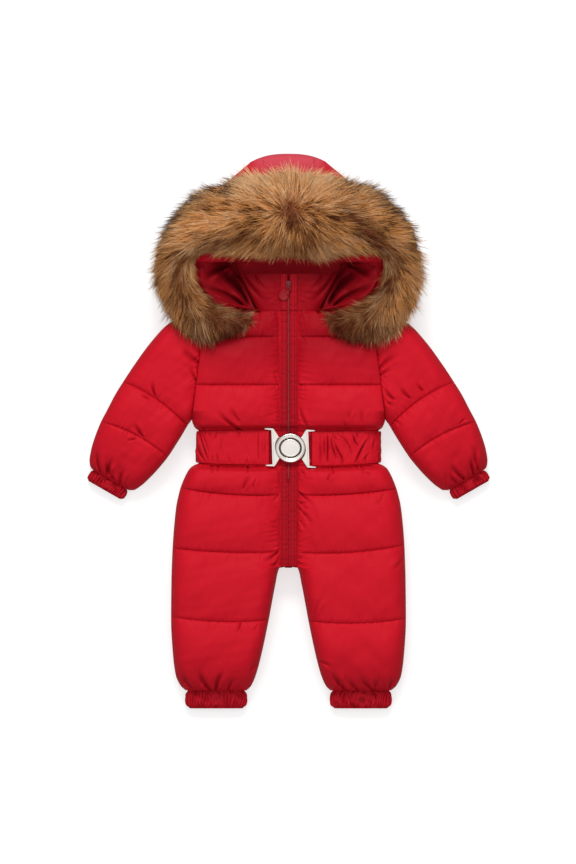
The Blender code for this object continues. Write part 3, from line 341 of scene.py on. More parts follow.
def spaced(seams, step, fine, reach):
    """Places along a run of quilted channels: step apart, and fine apart close to the seams."""
    places = []
    for a, b in zip(seams, seams[1:]):
        at, sign = 0.0, math.copysign(1, b - a)
        length = abs(b - a)
        while at < length:
            places.append(a + sign * at)
            near = min(at, length - at)
            stride = fine + (step - fine) * min(near / reach, 1.0)
            at += stride
    return np.array([*places, seams[-1]])


# ---------------------------------------------------------------- folds in the cloth

def noise(x, y, size, seed, waves=12):
    """Smooth noise over a plane, mostly between -1 and 1, in features of the given size."""
    rng = np.random.RandomState(seed)
    total = 0.0
    for _ in range(waves):
        turn, phase = rng.uniform(0, 2 * math.pi, 2)
        k = 2 * math.pi / size * rng.uniform(0.55, 1.5)
        total = total + np.cos(k * (x * math.cos(turn) + y * math.sin(turn)) + phase)
    return total / math.sqrt(waves)


def tucks(along, away, reach, spacing, depth, seed):
    """How far the gathers of a seam sink the cloth: short valleys square to the seam, uneven in
    place, depth, width and length. along runs with the seam, and away from it."""
    rng = np.random.RandomState(seed)
    sunk = np.zeros(np.broadcast(along, away).shape)
    place, last = along.min(), along.max()
    away = np.abs(away)
    while place < last:
        place += spacing * rng.uniform(0.45, 1.6)
        deep, long = depth * rng.uniform(0.2, 1.0), reach * rng.uniform(0.3, 1.0)
        wide, slant = spacing * rng.uniform(0.17, 0.36), rng.uniform(-0.4, 0.4)
        off = along - place - slant * away
        fade = np.exp(-((away / long) ** 1.5))
        valley = np.exp(-((off / wide) ** 2))
        lips = np.exp(-(((np.abs(off) - 2.0 * wide) / (1.1 * wide)) ** 2))
        sunk += deep * fade * (valley - 0.45 * lips)
    return sunk


def creased(x, y, creases):
    """How far the main creases sink the cloth: a valley with a soft ridge on each side, deepest
    at its start and gone at its end."""
    sunk = np.zeros(np.broadcast(x, y).shape)
    for c in creases:
        dx, dy = c.x1 - c.x0, c.y1 - c.y0
        length = math.hypot(dx, dy)
        s = ((x - c.x0) * dx + (y - c.y0) * dy) / length**2
        off = ((x - c.x0) * dy - (y - c.y0) * dx) / length + 0.06 * length * np.sin(3 * s)
        wide = 0.62 * c.width * (0.55 + 0.85 * np.clip(s, 0, 1.2))
        taper = 1.5 * eased(s, -0.12, 0.1) * (1 - eased(s, 0.4, 1.2))
        valley = np.exp(-(np.abs(off / wide) ** 1.35))
        near = np.exp(-(((off - 2.0 * wide) / (1.3 * wide)) ** 2))
        far = np.exp(-(((off + 2.0 * wide) / (1.3 * wide)) ** 2))
        sunk += c.depth * taper * (valley - 0.5 * near - 0.28 * far)
    return sunk


def painted_fold_shade(sunk, most):
    """The share of darkness that a fold of this depth holds."""
    return most * np.clip(sunk / 3.0, 0, 1) ** 1.3


def line_gap(x, y, line):
    """The distance to a line of points, with a sign for its side, and the share along it."""
    points = np.array(line, float)
    steps = np.diff(points, axis=0)
    lengths = np.hypot(*steps.T)
    done = np.cumsum(lengths) - lengths
    best = np.full(np.broadcast(x, y).shape, 1e9)
    along, off = 0 * best, 0 * best
    for (px, py), (dx, dy), length, before in zip(points, steps, lengths, done):
        t = np.clip(((x - px) * dx + (y - py) * dy) / length**2, 0, 1)
        gap = np.hypot(x - px - t * dx, y - py - t * dy)
        near = gap < best
        best = np.where(near, gap, best)
        along = np.where(near, (before + t * length) / lengths.sum(), along)
        off = np.where(near, np.sign((x - px) * dy - (y - py) * dx) * gap, off)
    return off, along


def folded(x, y, folds):
    """How far long folds sink the cloth. Each fold is a line of points with a depth and a width,
    and fades at both of its ends."""
    sunk = np.zeros(np.broadcast(x, y).shape)
    for fold in folds:
        off, along = line_gap(x, y, fold.points)
        taper = np.clip(np.sin(math.pi * np.clip(along, 0, 1)), 0, 1) ** 0.7
        valley = np.exp(-(np.abs(off / fold.width) ** 1.5))
        ridge = np.exp(-(((off - 2.0 * fold.width) / (1.2 * fold.width)) ** 2))
        sunk += fold.depth * taper * (valley - 0.6 * ridge)
    return sunk


# ---------------------------------------------------------------- meshes

def mesh_from(name, points, groups, attributes=None):
    """A mesh from points in millimetres and faces in arrays, one array for each face size."""
    groups = [np.asarray(g, int) for g in groups if len(g)]
    corners = np.concatenate([g.ravel() for g in groups])
    totals = np.concatenate([np.full(len(g), g.shape[1]) for g in groups])
    mesh = bpy.data.meshes.new(name)
    mesh.vertices.add(len(points))
    mesh.vertices.foreach_set("co", (np.asarray(points, float) * MM).ravel())
    mesh.loops.add(len(corners))
    mesh.loops.foreach_set("vertex_index", corners)
    mesh.polygons.add(len(totals))
    mesh.polygons.foreach_set("loop_start", np.concatenate([[0], np.cumsum(totals)[:-1]]))
    mesh.polygons.foreach_set("loop_total", totals)
    mesh.update(calc_edges=True)
    mesh.validate()
    for key, values in (attributes or {}).items():
        values = np.asarray(values, np.float32)
        kind = "FLOAT" if values.ndim == 1 else "FLOAT_VECTOR"
        layer = mesh.attributes.new(key, kind, "POINT")
        layer.data.foreach_set("value" if values.ndim == 1 else "vector", values.ravel())
    return mesh


SEWN = []  # the stitches of every seam: places, directions and the way up


def sew(line):
    """Lay stitches along a line of points in millimetres."""
    pitch = sizes().stitch / MM * 1.3
    gaps = np.linalg.norm(np.diff(line, axis=0), axis=1)
    done = np.concatenate([[0], np.cumsum(gaps)])
    at = np.arange(pitch, done[-1] - pitch / 2, pitch)
    places = np.stack([np.interp(at, done, line[:, k]) for k in range(3)], axis=-1)
    ahead = np.stack([np.interp(at + 0.5, done, line[:, k]) for k in range(3)], axis=-1) - places
    SEWN.append((places, unit(ahead)))


def linked(name, data):
    """A new object of this data, in the scene."""
    obj = bpy.data.objects.new(name, data)
    bpy.context.scene.collection.objects.link(obj)
    return obj


def smoothed(mesh):
    mesh.shade_smooth()
    mesh.set_sharp_from_angle(angle=math.radians(50))


@contextmanager
def edited(mesh):
    """Hold a mesh open as a bmesh, and write the changes back."""
    bm = bmesh.new()
    bm.from_mesh(mesh)
    yield bm
    bm.to_mesh(mesh)
    bm.free()


def placed(name, mesh, finish, outward=True):
    """An object of a mesh in its finish, shaded smooth, with its faces outwards."""
    if outward:
        with edited(mesh) as bm:
            bmesh.ops.recalc_face_normals(bm, faces=bm.faces)
    smoothed(mesh)
    if finish is not None:
        mesh.materials.clear()
        mesh.materials.append(finish)
    return linked(name, mesh)


def grid_quads(rows, cols, start=0, ring=False):
    """The faces of a grid of points that is stored row by row."""
    index = start + np.arange(rows * cols).reshape(rows, cols)
    if ring:
        index = np.concatenate([index, index[:, :1]], axis=1)
    quads = points_of(index[:-1, :-1], index[:-1, 1:], index[1:, 1:], index[1:, :-1])
    return quads.reshape(-1, 4)


def shell(name, top, low, finish, ring=False, attributes=None):
    """A closed wall between two skins, each a grid of points. low may have fewer columns."""
    rows, cols = top.shape[:2]
    others = low.shape[1]
    points = np.concatenate([top.reshape(-1, 3), low.reshape(-1, 3)])
    first = np.arange(rows * cols).reshape(rows, cols)
    second = rows * cols + np.arange(rows * others).reshape(rows, others)
    quads = [grid_quads(rows, cols, 0, ring), grid_quads(rows, others, rows * cols, ring)]
    caps = []
    if ring:
        for end in (0, -1):
            a, b = np.append(first[end], first[end][0]), np.append(second[end], second[end][0])
            quads.append(points_of(a[:-1], a[1:], b[1:], b[:-1]))
    else:
        for edge in (0, -1):
            a, b = first[:, edge], second[:, edge]
            quads.append(points_of(a[:-1], a[1:], b[1:], b[:-1]))
        for end in (0, -1):
            if cols == others:
                a, b = first[end], second[end]
                quads.append(points_of(a[:-1], a[1:], b[1:], b[:-1]))
            else:
                caps.append(np.concatenate([first[end], second[end][::-1]])[None])
    extra = {}
    for key, values in (attributes or {}).items():
        extra[key] = np.concatenate([values.ravel(), np.zeros(rows * others)])
    mesh = mesh_from(name, points, [np.concatenate(quads), *caps], extra)
    return placed(name, mesh, finish)


def baked(obj):
    """Replace an object's mesh by the one that its modifiers make."""
    depsgraph = bpy.context.evaluated_depsgraph_get()
    made = bpy.data.meshes.new_from_object(obj.evaluated_get(depsgraph))
    obj.modifiers.clear()
    obj.data = made
    return obj


def worn(obj, slot, *nodes, body="root"):
    """The piece rides on its body, takes a slot's finish and stands for its solids."""
    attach(obj, body)
    if nodes:
        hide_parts(*nodes)
    return obj


# ---------------------------------------------------------------- node trees

class Value:
    """A socket of a node tree, on which Python's operators add Math nodes."""

    def __init__(self, tree, socket):
        self.tree, self.socket = tree, socket

    def math(self, operation, *others, clamp=False):
        node = self.tree.add(
            "ShaderNodeMath", {"operation": operation, "use_clamp": clamp},
            {i: v for i, v in enumerate((self, *others))})
        return node["Value"]

    def __add__(self, other):
        return self.math("ADD", other)

    def __sub__(self, other):
        return self.math("SUBTRACT", other)

    def __mul__(self, other):
        return self.math("MULTIPLY", other)

    def __rsub__(self, other):
        node = self.tree.add("ShaderNodeMath", {"operation": "SUBTRACT"}, {0: other, 1: self})
        return node["Value"]

    __radd__ = __add__
    __rmul__ = __mul__

    def clamped(self):
        return self.math("ADD", 0.0, clamp=True)

    def sine(self):
        return self.math("SINE")


class Node:
    """A node of a tree: its outputs are read by name, as values."""

    def __init__(self, tree, node):
        self.tree, self.node = tree, node

    def __getitem__(self, name):
        for output in self.node.outputs:
            if output.name == name and output.enabled:
                return Value(self.tree, output)
        raise KeyError(f"{self.node.bl_idname} has no output {name}")


class Tree:
    """A node tree that is built by naming node types, their settings and their inputs."""

    def __init__(self, tree):
        self.tree = tree

    def add(self, kind, settings=None, inputs=None):
        node = self.tree.nodes.new(kind)
        for key, value in (settings or {}).items():
            setattr(node, key, value)
        for key, value in (inputs or {}).items():
            if isinstance(key, int):
                socket = node.inputs[key]
            else:
                socket = next(s for s in node.inputs if s.name == key and s.enabled)
            if isinstance(value, Value):
                self.tree.links.new(value.socket, socket)
            elif isinstance(value, tuple) and len(value) == 3 and socket.type == "RGBA":
                socket.default_value = (*value, 1)
            else:
                socket.default_value = value
        return Node(self, node)


def noise_of(tree, scale, **more):
    """A noise texture over the piece, in its own coordinates."""
    place = tree.add("ShaderNodeTexCoord")["Object"]
    return tree.add("ShaderNodeTexNoise", {}, {"Vector": place, "Scale": scale, **more})["Fac"]


def read(tree, name):
    return tree.add("ShaderNodeAttribute", {"attribute_name": name})["Fac"]


def mixed(tree, factor, a, b):
    return tree.add("ShaderNodeMix", {"data_type": "RGBA"},
                    {"Factor": factor, "A": a, "B": b})["Result"]


def bumped(tree, strength, distance, height):
    return tree.add("ShaderNodeBump", {}, {"Strength": strength, "Distance": distance,
                                           "Height": height})["Normal"]


def times(colour, share):
    return tuple(c * share for c in colour)


def material(name, **constant):
    """A material with its tree and shader; constant values go straight on the shader's sockets."""
    made = bpy.data.materials.new(name)
    made.use_nodes = True
    shader = made.node_tree.nodes["Principled BSDF"]
    for key, value in constant.items():
        shader.inputs[key.replace("_", " ")].default_value = value
    return made, Tree(made.node_tree), shader


def feed(tree, shader, **links):
    for key, value in links.items():
        tree.tree.links.new(value.socket, shader.inputs[key.replace("_", " ")])


FINISHES = {}


def finish(name, make):
    """The named material, made once."""
    if name not in FINISHES:
        FINISHES[name] = make(name)
    return FINISHES[name]


def weave(tree, place, pitch):
    """A plain weave's height over the cloth, from 0 to 1."""
    split = tree.add("ShaderNodeSeparateXYZ", {}, {0: place})
    turn = 2 * math.pi / (pitch * MM)
    x = (split["X"] + split["Z"] * 0.6) * turn
    y = (split["Y"] + split["Z"] * 0.8) * turn
    return (x.sine() * y.sine()) * 0.5 + 0.5


def cloth_finish(name, colour, rough, sheen, pitch=0.55, shade=1.0):
    """Woven nylon: a fine weave, small crumples, and a little change of tone and gloss."""
    made, tree, shader = material(
        name, Metallic=0.0, Specular_IOR_Level=0.055, Sheen_Weight=sheen, Sheen_Roughness=0.5,
        Sheen_Tint=(1.0, 0.25, 0.25, 1))
    place = tree.add("ShaderNodeTexCoord")["Object"]
    broad, fine = noise_of(tree, 9.0, Detail=3.0), noise_of(tree, 130.0, Detail=4.0)
    tone = (broad - 0.5) * 0.22 + (fine - 0.5) * 0.10 + 0.5
    # shade below 1 darkens the whole cloth with painted shade, for pieces that lie in shadow
    bright = tuple(min(1.0, c * 1.10 * shade) for c in colour)
    base = mixed(tree, tone.clamped(), times(colour, 0.86 * shade), bright)
    # painted shade: where the seam attribute is high (seam lines, folds, hollows and shadowed
    # places) the red turns darker and deeper
    painted_shade_colour = tuple(c * k * shade for c, k in zip(colour, (0.36, 0.15, 0.28)))
    base = mixed(tree, read(tree, "seam").clamped(), base, painted_shade_colour)
    # painted highlight: the hood's crown, facing the head light, is paled towards pink
    base = mixed(tree, read(tree, "faded").clamped(), base, (0.62, 0.085, 0.115))
    gloss = (fine - 0.5) * 0.16 + (broad - 0.5) * 0.12 + rough
    height = weave(tree, place, pitch) * 0.16 + fine * 1.0 + broad * 1.0
    feed(tree, shader, Base_Color=base, Roughness=gloss,
         Normal=bumped(tree, 0.35, 0.0006, height))
    return made


def mottled_finish(name, scale, dark, bright, gloss=None, bump=None, detail=None, **constant):
    """A finish that noise varies between two colours, and in gloss and height where it has them."""
    made, tree, shader = material(name, **constant)
    grain = noise_of(tree, scale, **({"Detail": detail} if detail else {}))
    links = {"Base_Color": mixed(tree, grain, dark, bright)}
    if gloss:
        links["Roughness"] = grain * gloss[0] + gloss[1]
    if bump:
        links["Normal"] = bumped(tree, *bump, grain)
    feed(tree, shader, **links)
    return made


def cloth(name, rough=0.52, sheen=0.02, **more):
    return finish(name, lambda n: cloth_finish(n, tuple(colours().shell), rough, sheen, **more))


def shell_cloth():
    return cloth("shell_nylon", 0.50, 0.03)


def shaded_lining_cloth():
    # the shell's nylon darkened with painted shade, as the lining lies in the trim's shadow
    return cloth("hood_lining", 0.5, shade=0.42)


def shaded_placket_cloth():
    # the shell's nylon darkened with painted shade
    return cloth("placket_nylon", sheen=0.01, shade=0.66)


def shaded_cuff_cloth():
    # the shell's nylon darkened with painted shade, where the cuffs face away from the light
    return cloth("cuff_nylon", shade=0.78)


def tape_cloth():
    return finish("zip_tape", lambda n: cloth_finish(n, tuple(colours().trim), 0.6, 0.05, 0.9))


def thread():
    red = colours().shell
    return finish("sewing_thread", lambda n: mottled_finish(
        n, 900.0, times(red, 0.42), times(red, 0.7), Roughness=0.6, Specular_IOR_Level=0.1))


def teeth():
    red = tuple(c * 1.2 + 0.035 for c in colours().trim)
    return finish("zip_teeth", lambda n: mottled_finish(
        n, 400.0, red, times(red, 1.8), (0.2, 0.25), Specular_IOR_Level=0.3))


def pull_rubber():
    red = times(colours().shell, 0.5)
    return finish("pull_rubber", lambda n: mottled_finish(
        n, 700.0, times(red, 0.85), red, (0.15, 0.42), (0.3, 0.0002), Specular_IOR_Level=0.2))


def lacquered_metal():
    red = times(colours().shell, 0.22)
    return finish("lacquered_metal", lambda n: mottled_finish(
        n, 500.0, times(red, 0.8), red, (0.15, 0.2), detail=2.0, Specular_IOR_Level=0.6,
        Metallic=0.35))


def plated_metal():
    def make(name):
        made, tree, shader = material(name, Metallic=1.0)
        cloud, hair = noise_of(tree, 60.0, Detail=3.0), noise_of(tree, 900.0, Detail=2.0)
        metal = tuple(colours().metal)
        base = mixed(tree, cloud, times(metal, 0.9), metal)
        # painted shade: the floor of the disc's groove is near black
        base = mixed(tree, read(tree, "groove").clamped(), base, (0.05, 0.042, 0.036))
        feed(tree, shader, Base_Color=base, Roughness=cloud * 0.12 + 0.2,
             Normal=bumped(tree, 0.08, 0.0001, hair))
        return made
    return finish("plated_metal", make)


def fur_finish():
    """Banded hair: brown at the root, a golden band, and tips that are cream or dark by tone."""
    def make(name):
        made, tree, shader = material(name, Specular_IOR_Level=0.16)
        along, tone, tipped, shade, pale = (
            read(tree, key) for key in ("along", "tone", "tipped", "shade", "pale"))
        gold, root = tuple(colours().hair_gold), tuple(colours().hair_root)
        # dark is painted shade for the partings and lobes, a red-brown that also holds the suit's
        # bounce light
        cream, dark = (1.0, 0.66, 0.36), (0.13, 0.014, 0.006)
        tip = ((along - 0.5) * 4.0).clamped() * tipped * (1.6 - tone * 1.4)
        # pale marks paler hair round the whorl and along the top, raised further by a painted
        # highlight where the head light falls
        base = mixed(tree, (along * 2.4 + 0.1 + pale * 0.4).clamped(), root, gold)
        base = mixed(tree, ((tone - 0.62) * 3.4 + (pale * along * 2.4)).clamped(), base, cream)
        base = mixed(tree, ((0.38 - tone) * 4.5 - pale * 1.2).clamped(), base, times(root, 0.42))
        base = mixed(tree, tip.clamped(), base, tuple(colours().hair_tip))
        base = mixed(tree, (shade * (1.3 - tone * 0.6)).clamped(), base, dark)
        feed(tree, shader, Base_Color=base, Roughness=tone * 0.2 + 0.42)
        return made
    return finish("fur_hair", make)


def pelt_finish():
    root = colours().hair_root
    return finish("fur_wool", lambda n: mottled_finish(
        n, 160.0, times(root, 0.5), times(root, 1.5), bump=(0.9, 0.002), detail=6.0,
        Roughness=0.9, Specular_IOR_Level=0.1))


def floor_finish():
    pale = tuple(colours().floor)
    return finish("pale_floor", lambda n: mottled_finish(
        n, 3.0, times(pale, 0.99), pale, Specular_IOR_Level=0.1, Roughness=0.9,
        Emission_Color=(1, 1, 1, 1), Emission_Strength=0.62))


# ---------------------------------------------------------------- trunk and legs

def seam_z(y):
    turns = (-64.0, -54.7, 0.3, 9.0)
    heights = (BODY_SEAM_Z, WAIST_SEAM_Z, WAIST_SEAM_Z, BODY_SEAM_Z)
    drop = np.clip((LEG_DROP_Y - y) / (LEG_DROP_Y - ANKLE_Y), 0, 1) ** 1.7
    return np.interp(y, turns, heights) - (BODY_SEAM_Z - ANKLE_SEAM_Z) * drop


def under_zip(y):
    """1 where the zip's strip runs down the middle, and 0 on the legs."""
    return np.interp(y, (CROTCH_Y, CROTCH_Y + 2), (0, 1))


def armhole_share(y):
    return np.interp(y, (ARMPIT_Y, ARMPIT_Y + 14, NECK_Y - 12, NECK_Y), (0, 0.8, 0.8, 0.7))


def front_height(x, place, seams):
    """The height of the trunk's or leg's front above its side seam. place is the row that the
    point belongs to, which the quilting follows."""
    x_in, x_out = column(TRUNK, "x_in", place), column(TRUNK, "x_out", place)
    puff, pinch = column(TRUNK, "puff", place), column(TRUNK, "pinch", place)
    height = baffle(puff, pinch, fullness(place, seams))
    kept = armhole_share(place)
    side = kept + (1 - kept) * rounded(x_out - x, 34)
    inseam = rounded(x - x_in, 28)
    sunk = column(TRUNK, "channel", place)
    rise = rounded(np.maximum(x - x_in - PLACKET_BED, 0), 58) ** 1.4
    open_leg, zipped = height * inseam, sunk + (height - sunk) * rise
    share = under_zip(place)
    return np.maximum((open_leg + (zipped - open_leg) * share) * side, EDGE)


ZIP_STEPS = PLACKET_BED + np.array(
    [-PLACKET_BED, -8, -3, -0.6, 0.3, 1.1, 2.0, 3.2, 4.6, 6.2, 8, 10, 12.2, 14.6, 17.2, 20, 23, 26])
INSEAM_STEPS = np.array(
    [0, 0.25, 0.7, 1.3, 2.1, 3.1, 4.3, 5.7, 7.3, 9.0, 10.9, 12.9, 15.0, 17.3, 19.8, 22.4, 25.1, 28])
SIDE_STEPS = np.array([34, 31.5, 29, 26.5, 24, 21.6, 19.3, 17.1, 15, 13, 11.1, 9.3, 7.6, 6.1, 4.7,
                       3.5, 2.4, 1.5, 0.8, 0.3, 0])


def bowed(place, share, bows):
    """How far the quilting's lines leave straight ones. bows gives, for each seam, the shift at
    the middle of the body, midway, and at the side."""
    rows = sorted(bows)
    inner, middle, side = (np.interp(place, rows, [bows[r][k] for r in rows]) for k in range(3))
    a = 2 * inner - 4 * middle + 2 * side
    b = -3 * inner + 4 * middle - side
    return inner + b * share + a * share**2


def panel(name, side, seams, top_y, bottom_y, bows, creases, seed, step=1.5):
    """One front panel of the trunk or a leg, quilted, tucked and creased."""
    rows = spaced([top_y, *[s for s in seams if bottom_y < s < top_y], bottom_y], step, 0.7, 9.0)
    place = rows[:, None]
    x_in, x_out = column(TRUNK, "x_in", place), column(TRUNK, "x_out", place)
    near = x_in + INSEAM_STEPS + (ZIP_STEPS - INSEAM_STEPS) * under_zip(place)
    far = x_out - SIDE_STEPS
    count = int((far[:, 0] - near[:, -1]).max() / step)
    middle = near[:, -1:] + (far[:, :1] - near[:, -1:]) * np.linspace(0, 1, count + 2)[1:-1]
    x = np.concatenate([near, middle, far], axis=1)
    share = (x - x_in) / (x_out - x_in)
    y = place + bowed(place, share, bows)
    rise = front_height(x, place, seams)
    flank, bed = rounded(x_out - x, 20), eased(x - x_in, PLACKET_BED - 1, PLACKET_BED + 4)
    over_zip = under_zip(place)
    loose = flank * (over_zip * bed + (1 - over_zip) * rounded(x - x_in, 14))
    at_edge = np.maximum(armhole_share(place), 0) * 0.6
    loose = np.maximum(loose, at_edge * (over_zip * bed))
    tuck = sizes().tuck / MM
    sunk = 0.0
    painted_shade = np.zeros(x.shape)
    for k, seam in enumerate(seams):
        away = place - seam
        quilted = bottom_y + 2 < seam < top_y - 2
        if quilted:
            sunk = sunk + 0.7 * np.exp(-((away / 1.3) ** 2))
            painted_shade = np.maximum(painted_shade, np.exp(-((away / 0.8) ** 2)) * np.ones(x.shape))
        deep, reach = (tuck, 13.0) if quilted else (tuck * 1.9, 22.0)
        for half in (0, 1):
            if (half and seam >= top_y) or (not half and seam <= bottom_y):
                continue
            mask = (away > 0) if half else (away <= 0)
            sunk = sunk + mask * tucks(x, away, reach, 7.5, deep, seed + 17 * k + half)
    by_zip = x - x_in - PLACKET_BED
    sunk = sunk + over_zip * (by_zip > 0) * tucks(y, by_zip, 19.0, 6.5, tuck * 2.0, seed + 5)
    sunk = sunk + creased(side * x, y, creases)
    # painted shade on the seam lines and in the folds' valleys
    painted_shade = np.maximum(0.5 * painted_shade, painted_fold_shade(sunk, 0.5))
    painted_shade = np.maximum(painted_shade, 0.62 * eased(y, 62, 155))  # in the trim's shade
    sunk = sunk + 0.9 * noise(x, y, 60.0, seed + 9) + 0.35 * noise(x, y, 22.0, seed + 10)
    z = seam_z(place) + GAP / 2 + np.maximum(rise - sunk * loose, EDGE)
    top = points_of(side * x, y, z)
    low = points_of(side * x[:, [0, -1]], y[:, [0, -1]],
                    seam_z(place) + GAP / 2 + np.zeros((len(rows), 2)))
    for seam in seams:
        if bottom_y + 2 < seam < top_y - 2 and seam != BELT_BOTTOM_Y - GAP:
            sew(top[np.abs(rows - seam).argmin(), 5:-5])
    return shell(name, top, low, shell_cloth(), attributes={"seam": painted_shade * loose})


CHEST_BOWS = {NECK_Y: (0, 0, 0), WAIST_Y: (0, 0, 0)}
LEG_BOWS = {
    "right": {WAIST_Y: (0, 0, 0), -54.7: (0, 0.6, 3.5), -99.0: (-2.2, -2.6, 8.5),
              -193.6: (1.6, 0.0, 6.8), -304.0: (2.5, 0.0, 8.0), ANKLE_Y: (0, 0, 0)},
    "left": {WAIST_Y: (0, 0, 0), -54.7: (0, 0.6, 3.5), -99.0: (-2.4, -2.4, 7.0),
             -193.6: (1.2, -0.4, 12.0), -304.0: (1.0, -2.6, 5.0), ANKLE_Y: (0, 0, 0)},
}


def underside(x, place, x_in, x_out):
    """The back panel's lower face: on the floor, and round at the side and the inseam."""
    lift, seam = column(TRUNK, "lift", place), seam_z(place) - GAP / 2
    kept = np.interp(place, (ARMPIT_Y, ARMPIT_Y + 14), (0, 1))
    side = kept + (1 - kept) * rounded(x_out - np.abs(x), 30)
    zipped = under_zip(place)
    inseam = zipped + (1 - zipped) * rounded(np.abs(x) - x_in, 26)
    return np.maximum((seam - lift) * side * inseam, EDGE)


def back_panel(name, rows, x, x_in, x_out, seams, seed):
    """A panel of the back: flat on the floor, sunk a little along its quilting."""
    place = rows[:, None]
    deep = underside(x, place, x_in, x_out) * np.sqrt(np.clip((NECK_Y + 1 - place) / 16, 0.04, 1))
    soft = deep / np.maximum(deep.max(), 1)
    sunk, painted_shade = 0.0, np.zeros(x.shape)
    for k, seam in enumerate(seams):
        away = place - seam
        if rows.min() + 2 < seam < rows.max() - 2:
            sunk = sunk + 4.5 * np.exp(-((np.abs(away) / 7.0) ** 1.2))
            # painted shade along the seam lines
            painted_shade = np.maximum(painted_shade, np.exp(-((away / 0.9) ** 2)) * np.ones(x.shape))
        sunk = sunk + np.abs(tucks(x, away, 16.0, 8.0, 1.6, seed + k))
    flat = column(TRUNK, "lift", place) <= 0.5
    z = seam_z(place) - GAP / 2 - np.maximum(deep - np.maximum(sunk, 0) * soft, EDGE)
    z = np.where(flat, np.maximum(z, 0), z)
    y = place + np.zeros(x.shape)
    top = points_of(x, y, z)
    low = points_of(x[:, [0, -1]], y[:, [0, -1]],
                    seam_z(place) - GAP / 2 + np.zeros((len(rows), 2)))
    return shell(name, top, low, shell_cloth(), attributes={"seam": painted_shade * soft})


def make_bodice():
    for side, sign in SIDES.items():
        obj = panel(f"chest_{side}", sign, CHEST_SEAMS, NECK_Y, WAIST_Y + GAP / 2, CHEST_BOWS,
                    CREASES[f"bodice_{side}"], 100 + 50 * sign)
        worn(obj, "shell_cloth", f"bodice_front_{side}")
    rows = spaced([NECK_Y, *CHEST_SEAMS[1:3], 0.3, WAIST_Y + GAP / 2], 4.0, 1.0, 9.0)
    half = column(TRUNK, "x_out", rows[:, None])
    right = np.concatenate([np.linspace(0, 1, 34)[:-1] * (half - 34), half - SIDE_STEPS], axis=1)
    x = np.concatenate([-right[:, :0:-1], right], axis=1)
    obj = back_panel("back", rows, x, 0 * half, half, CHEST_SEAMS[1:3], 300)
    worn(obj, "shell_cloth", "bodice_back")


def make_trousers():
    for side, sign in SIDES.items():
        obj = panel(f"leg_front_{side}", sign, LEG_SEAMS, WAIST_Y - GAP / 2, ANKLE_Y,
                    LEG_BOWS[side], CREASES[f"trousers_{side}"], 400 + 50 * sign)
        worn(obj, "shell_cloth", f"trouser_front_{side}")
        rows = spaced([WAIST_Y - GAP / 2, *LEG_SEAMS], 4.0, 1.0, 9.0)
        rows = np.sort(np.concatenate([rows, [CROTCH_Y, CROTCH_Y + 2]]))[::-1]
        place = rows[:, None]
        x_in, x_out = column(TRUNK, "x_in", place), column(TRUNK, "x_out", place)
        near, far = x_in + INSEAM_STEPS, x_out - SIDE_STEPS
        middle = near[:, -1:] + (far[:, :1] - near[:, -1:]) * np.linspace(0, 1, 34)[1:-1]
        x = np.concatenate([near, middle, far], axis=1) * sign
        obj = back_panel(f"leg_back_{side}", rows, x, x_in, x_out, LEG_SEAMS[1:4], 500 + sign)
        worn(obj, "shell_cloth", f"trouser_back_{side}")


# ---------------------------------------------------------------- sleeves

def sleeve_value(name, ring):
    return smooth(range(len(SLEEVE)), [getattr(row, name) for row in SLEEVE], ring)


def sleeve_seam_z(x, y):
    """Level from the armhole to the last quilting seam, then straight down to the wrist."""
    last, wrist = SLEEVE[SLEEVE_SEAMS[2]], SLEEVE[-1]
    along = np.array([last.over_x - last.under_x, last.over_y - last.under_y])
    down = np.array([along[1], -along[0]]) / np.linalg.norm(along)
    past = (x - last.over_x) * down[0] + (y - last.over_y) * down[1]
    full = (wrist.over_x - last.over_x) * down[0] + (wrist.over_y - last.over_y) * down[1]
    return BODY_SEAM_Z + (WRIST_SEAM_Z - BODY_SEAM_Z) * np.maximum(past, 0) / full


SLEEVE_EDGE = np.array([0, 0.3, 0.8, 1.5, 2.4, 3.5, 4.8, 6.3, 8, 10, 12.2, 14.6, 17.2, 20])


def sleeve_grid(rings, step):
    """Places over a sleeve: x, y, the ring, the distance in from the nearer edge, and the
    distances along and across it."""
    ring = rings[:, None]
    over = points_of(sleeve_value("over_x", ring), sleeve_value("over_y", ring))
    under = points_of(sleeve_value("under_x", ring), sleeve_value("under_y", ring))
    width = np.linalg.norm(under - over, axis=-1)
    near = SLEEVE_EDGE / width
    count = int((width.max() - 40) / step)
    middle = near[:, -1:] + (1 - 2 * near[:, -1:]) * np.linspace(0, 1, count)[1:-1]
    share = np.concatenate([near, middle, 1 - near[:, ::-1]], axis=1)
    centre = ((over + under) / 2)[:, 0]
    length = np.concatenate([[0], np.cumsum(np.linalg.norm(np.diff(centre, axis=0), axis=1))])
    ahead = np.gradient(centre, axis=0)
    ahead /= np.linalg.norm(ahead, axis=1)[:, None]
    bow = 7.0 * np.interp(ring, (0, 2, 5, 8, 11, 13), (0, 0.4, 1.1, 1.1, 0.5, 0))
    bow = bow * 4 * share * (1 - share)
    at = over + (under - over) * share[..., None] - ahead[:, None] * bow[..., None]
    edge = np.minimum(share, 1 - share) * width
    return at[..., 0], at[..., 1], ring, edge, length[:, None] + 0 * share, share * width


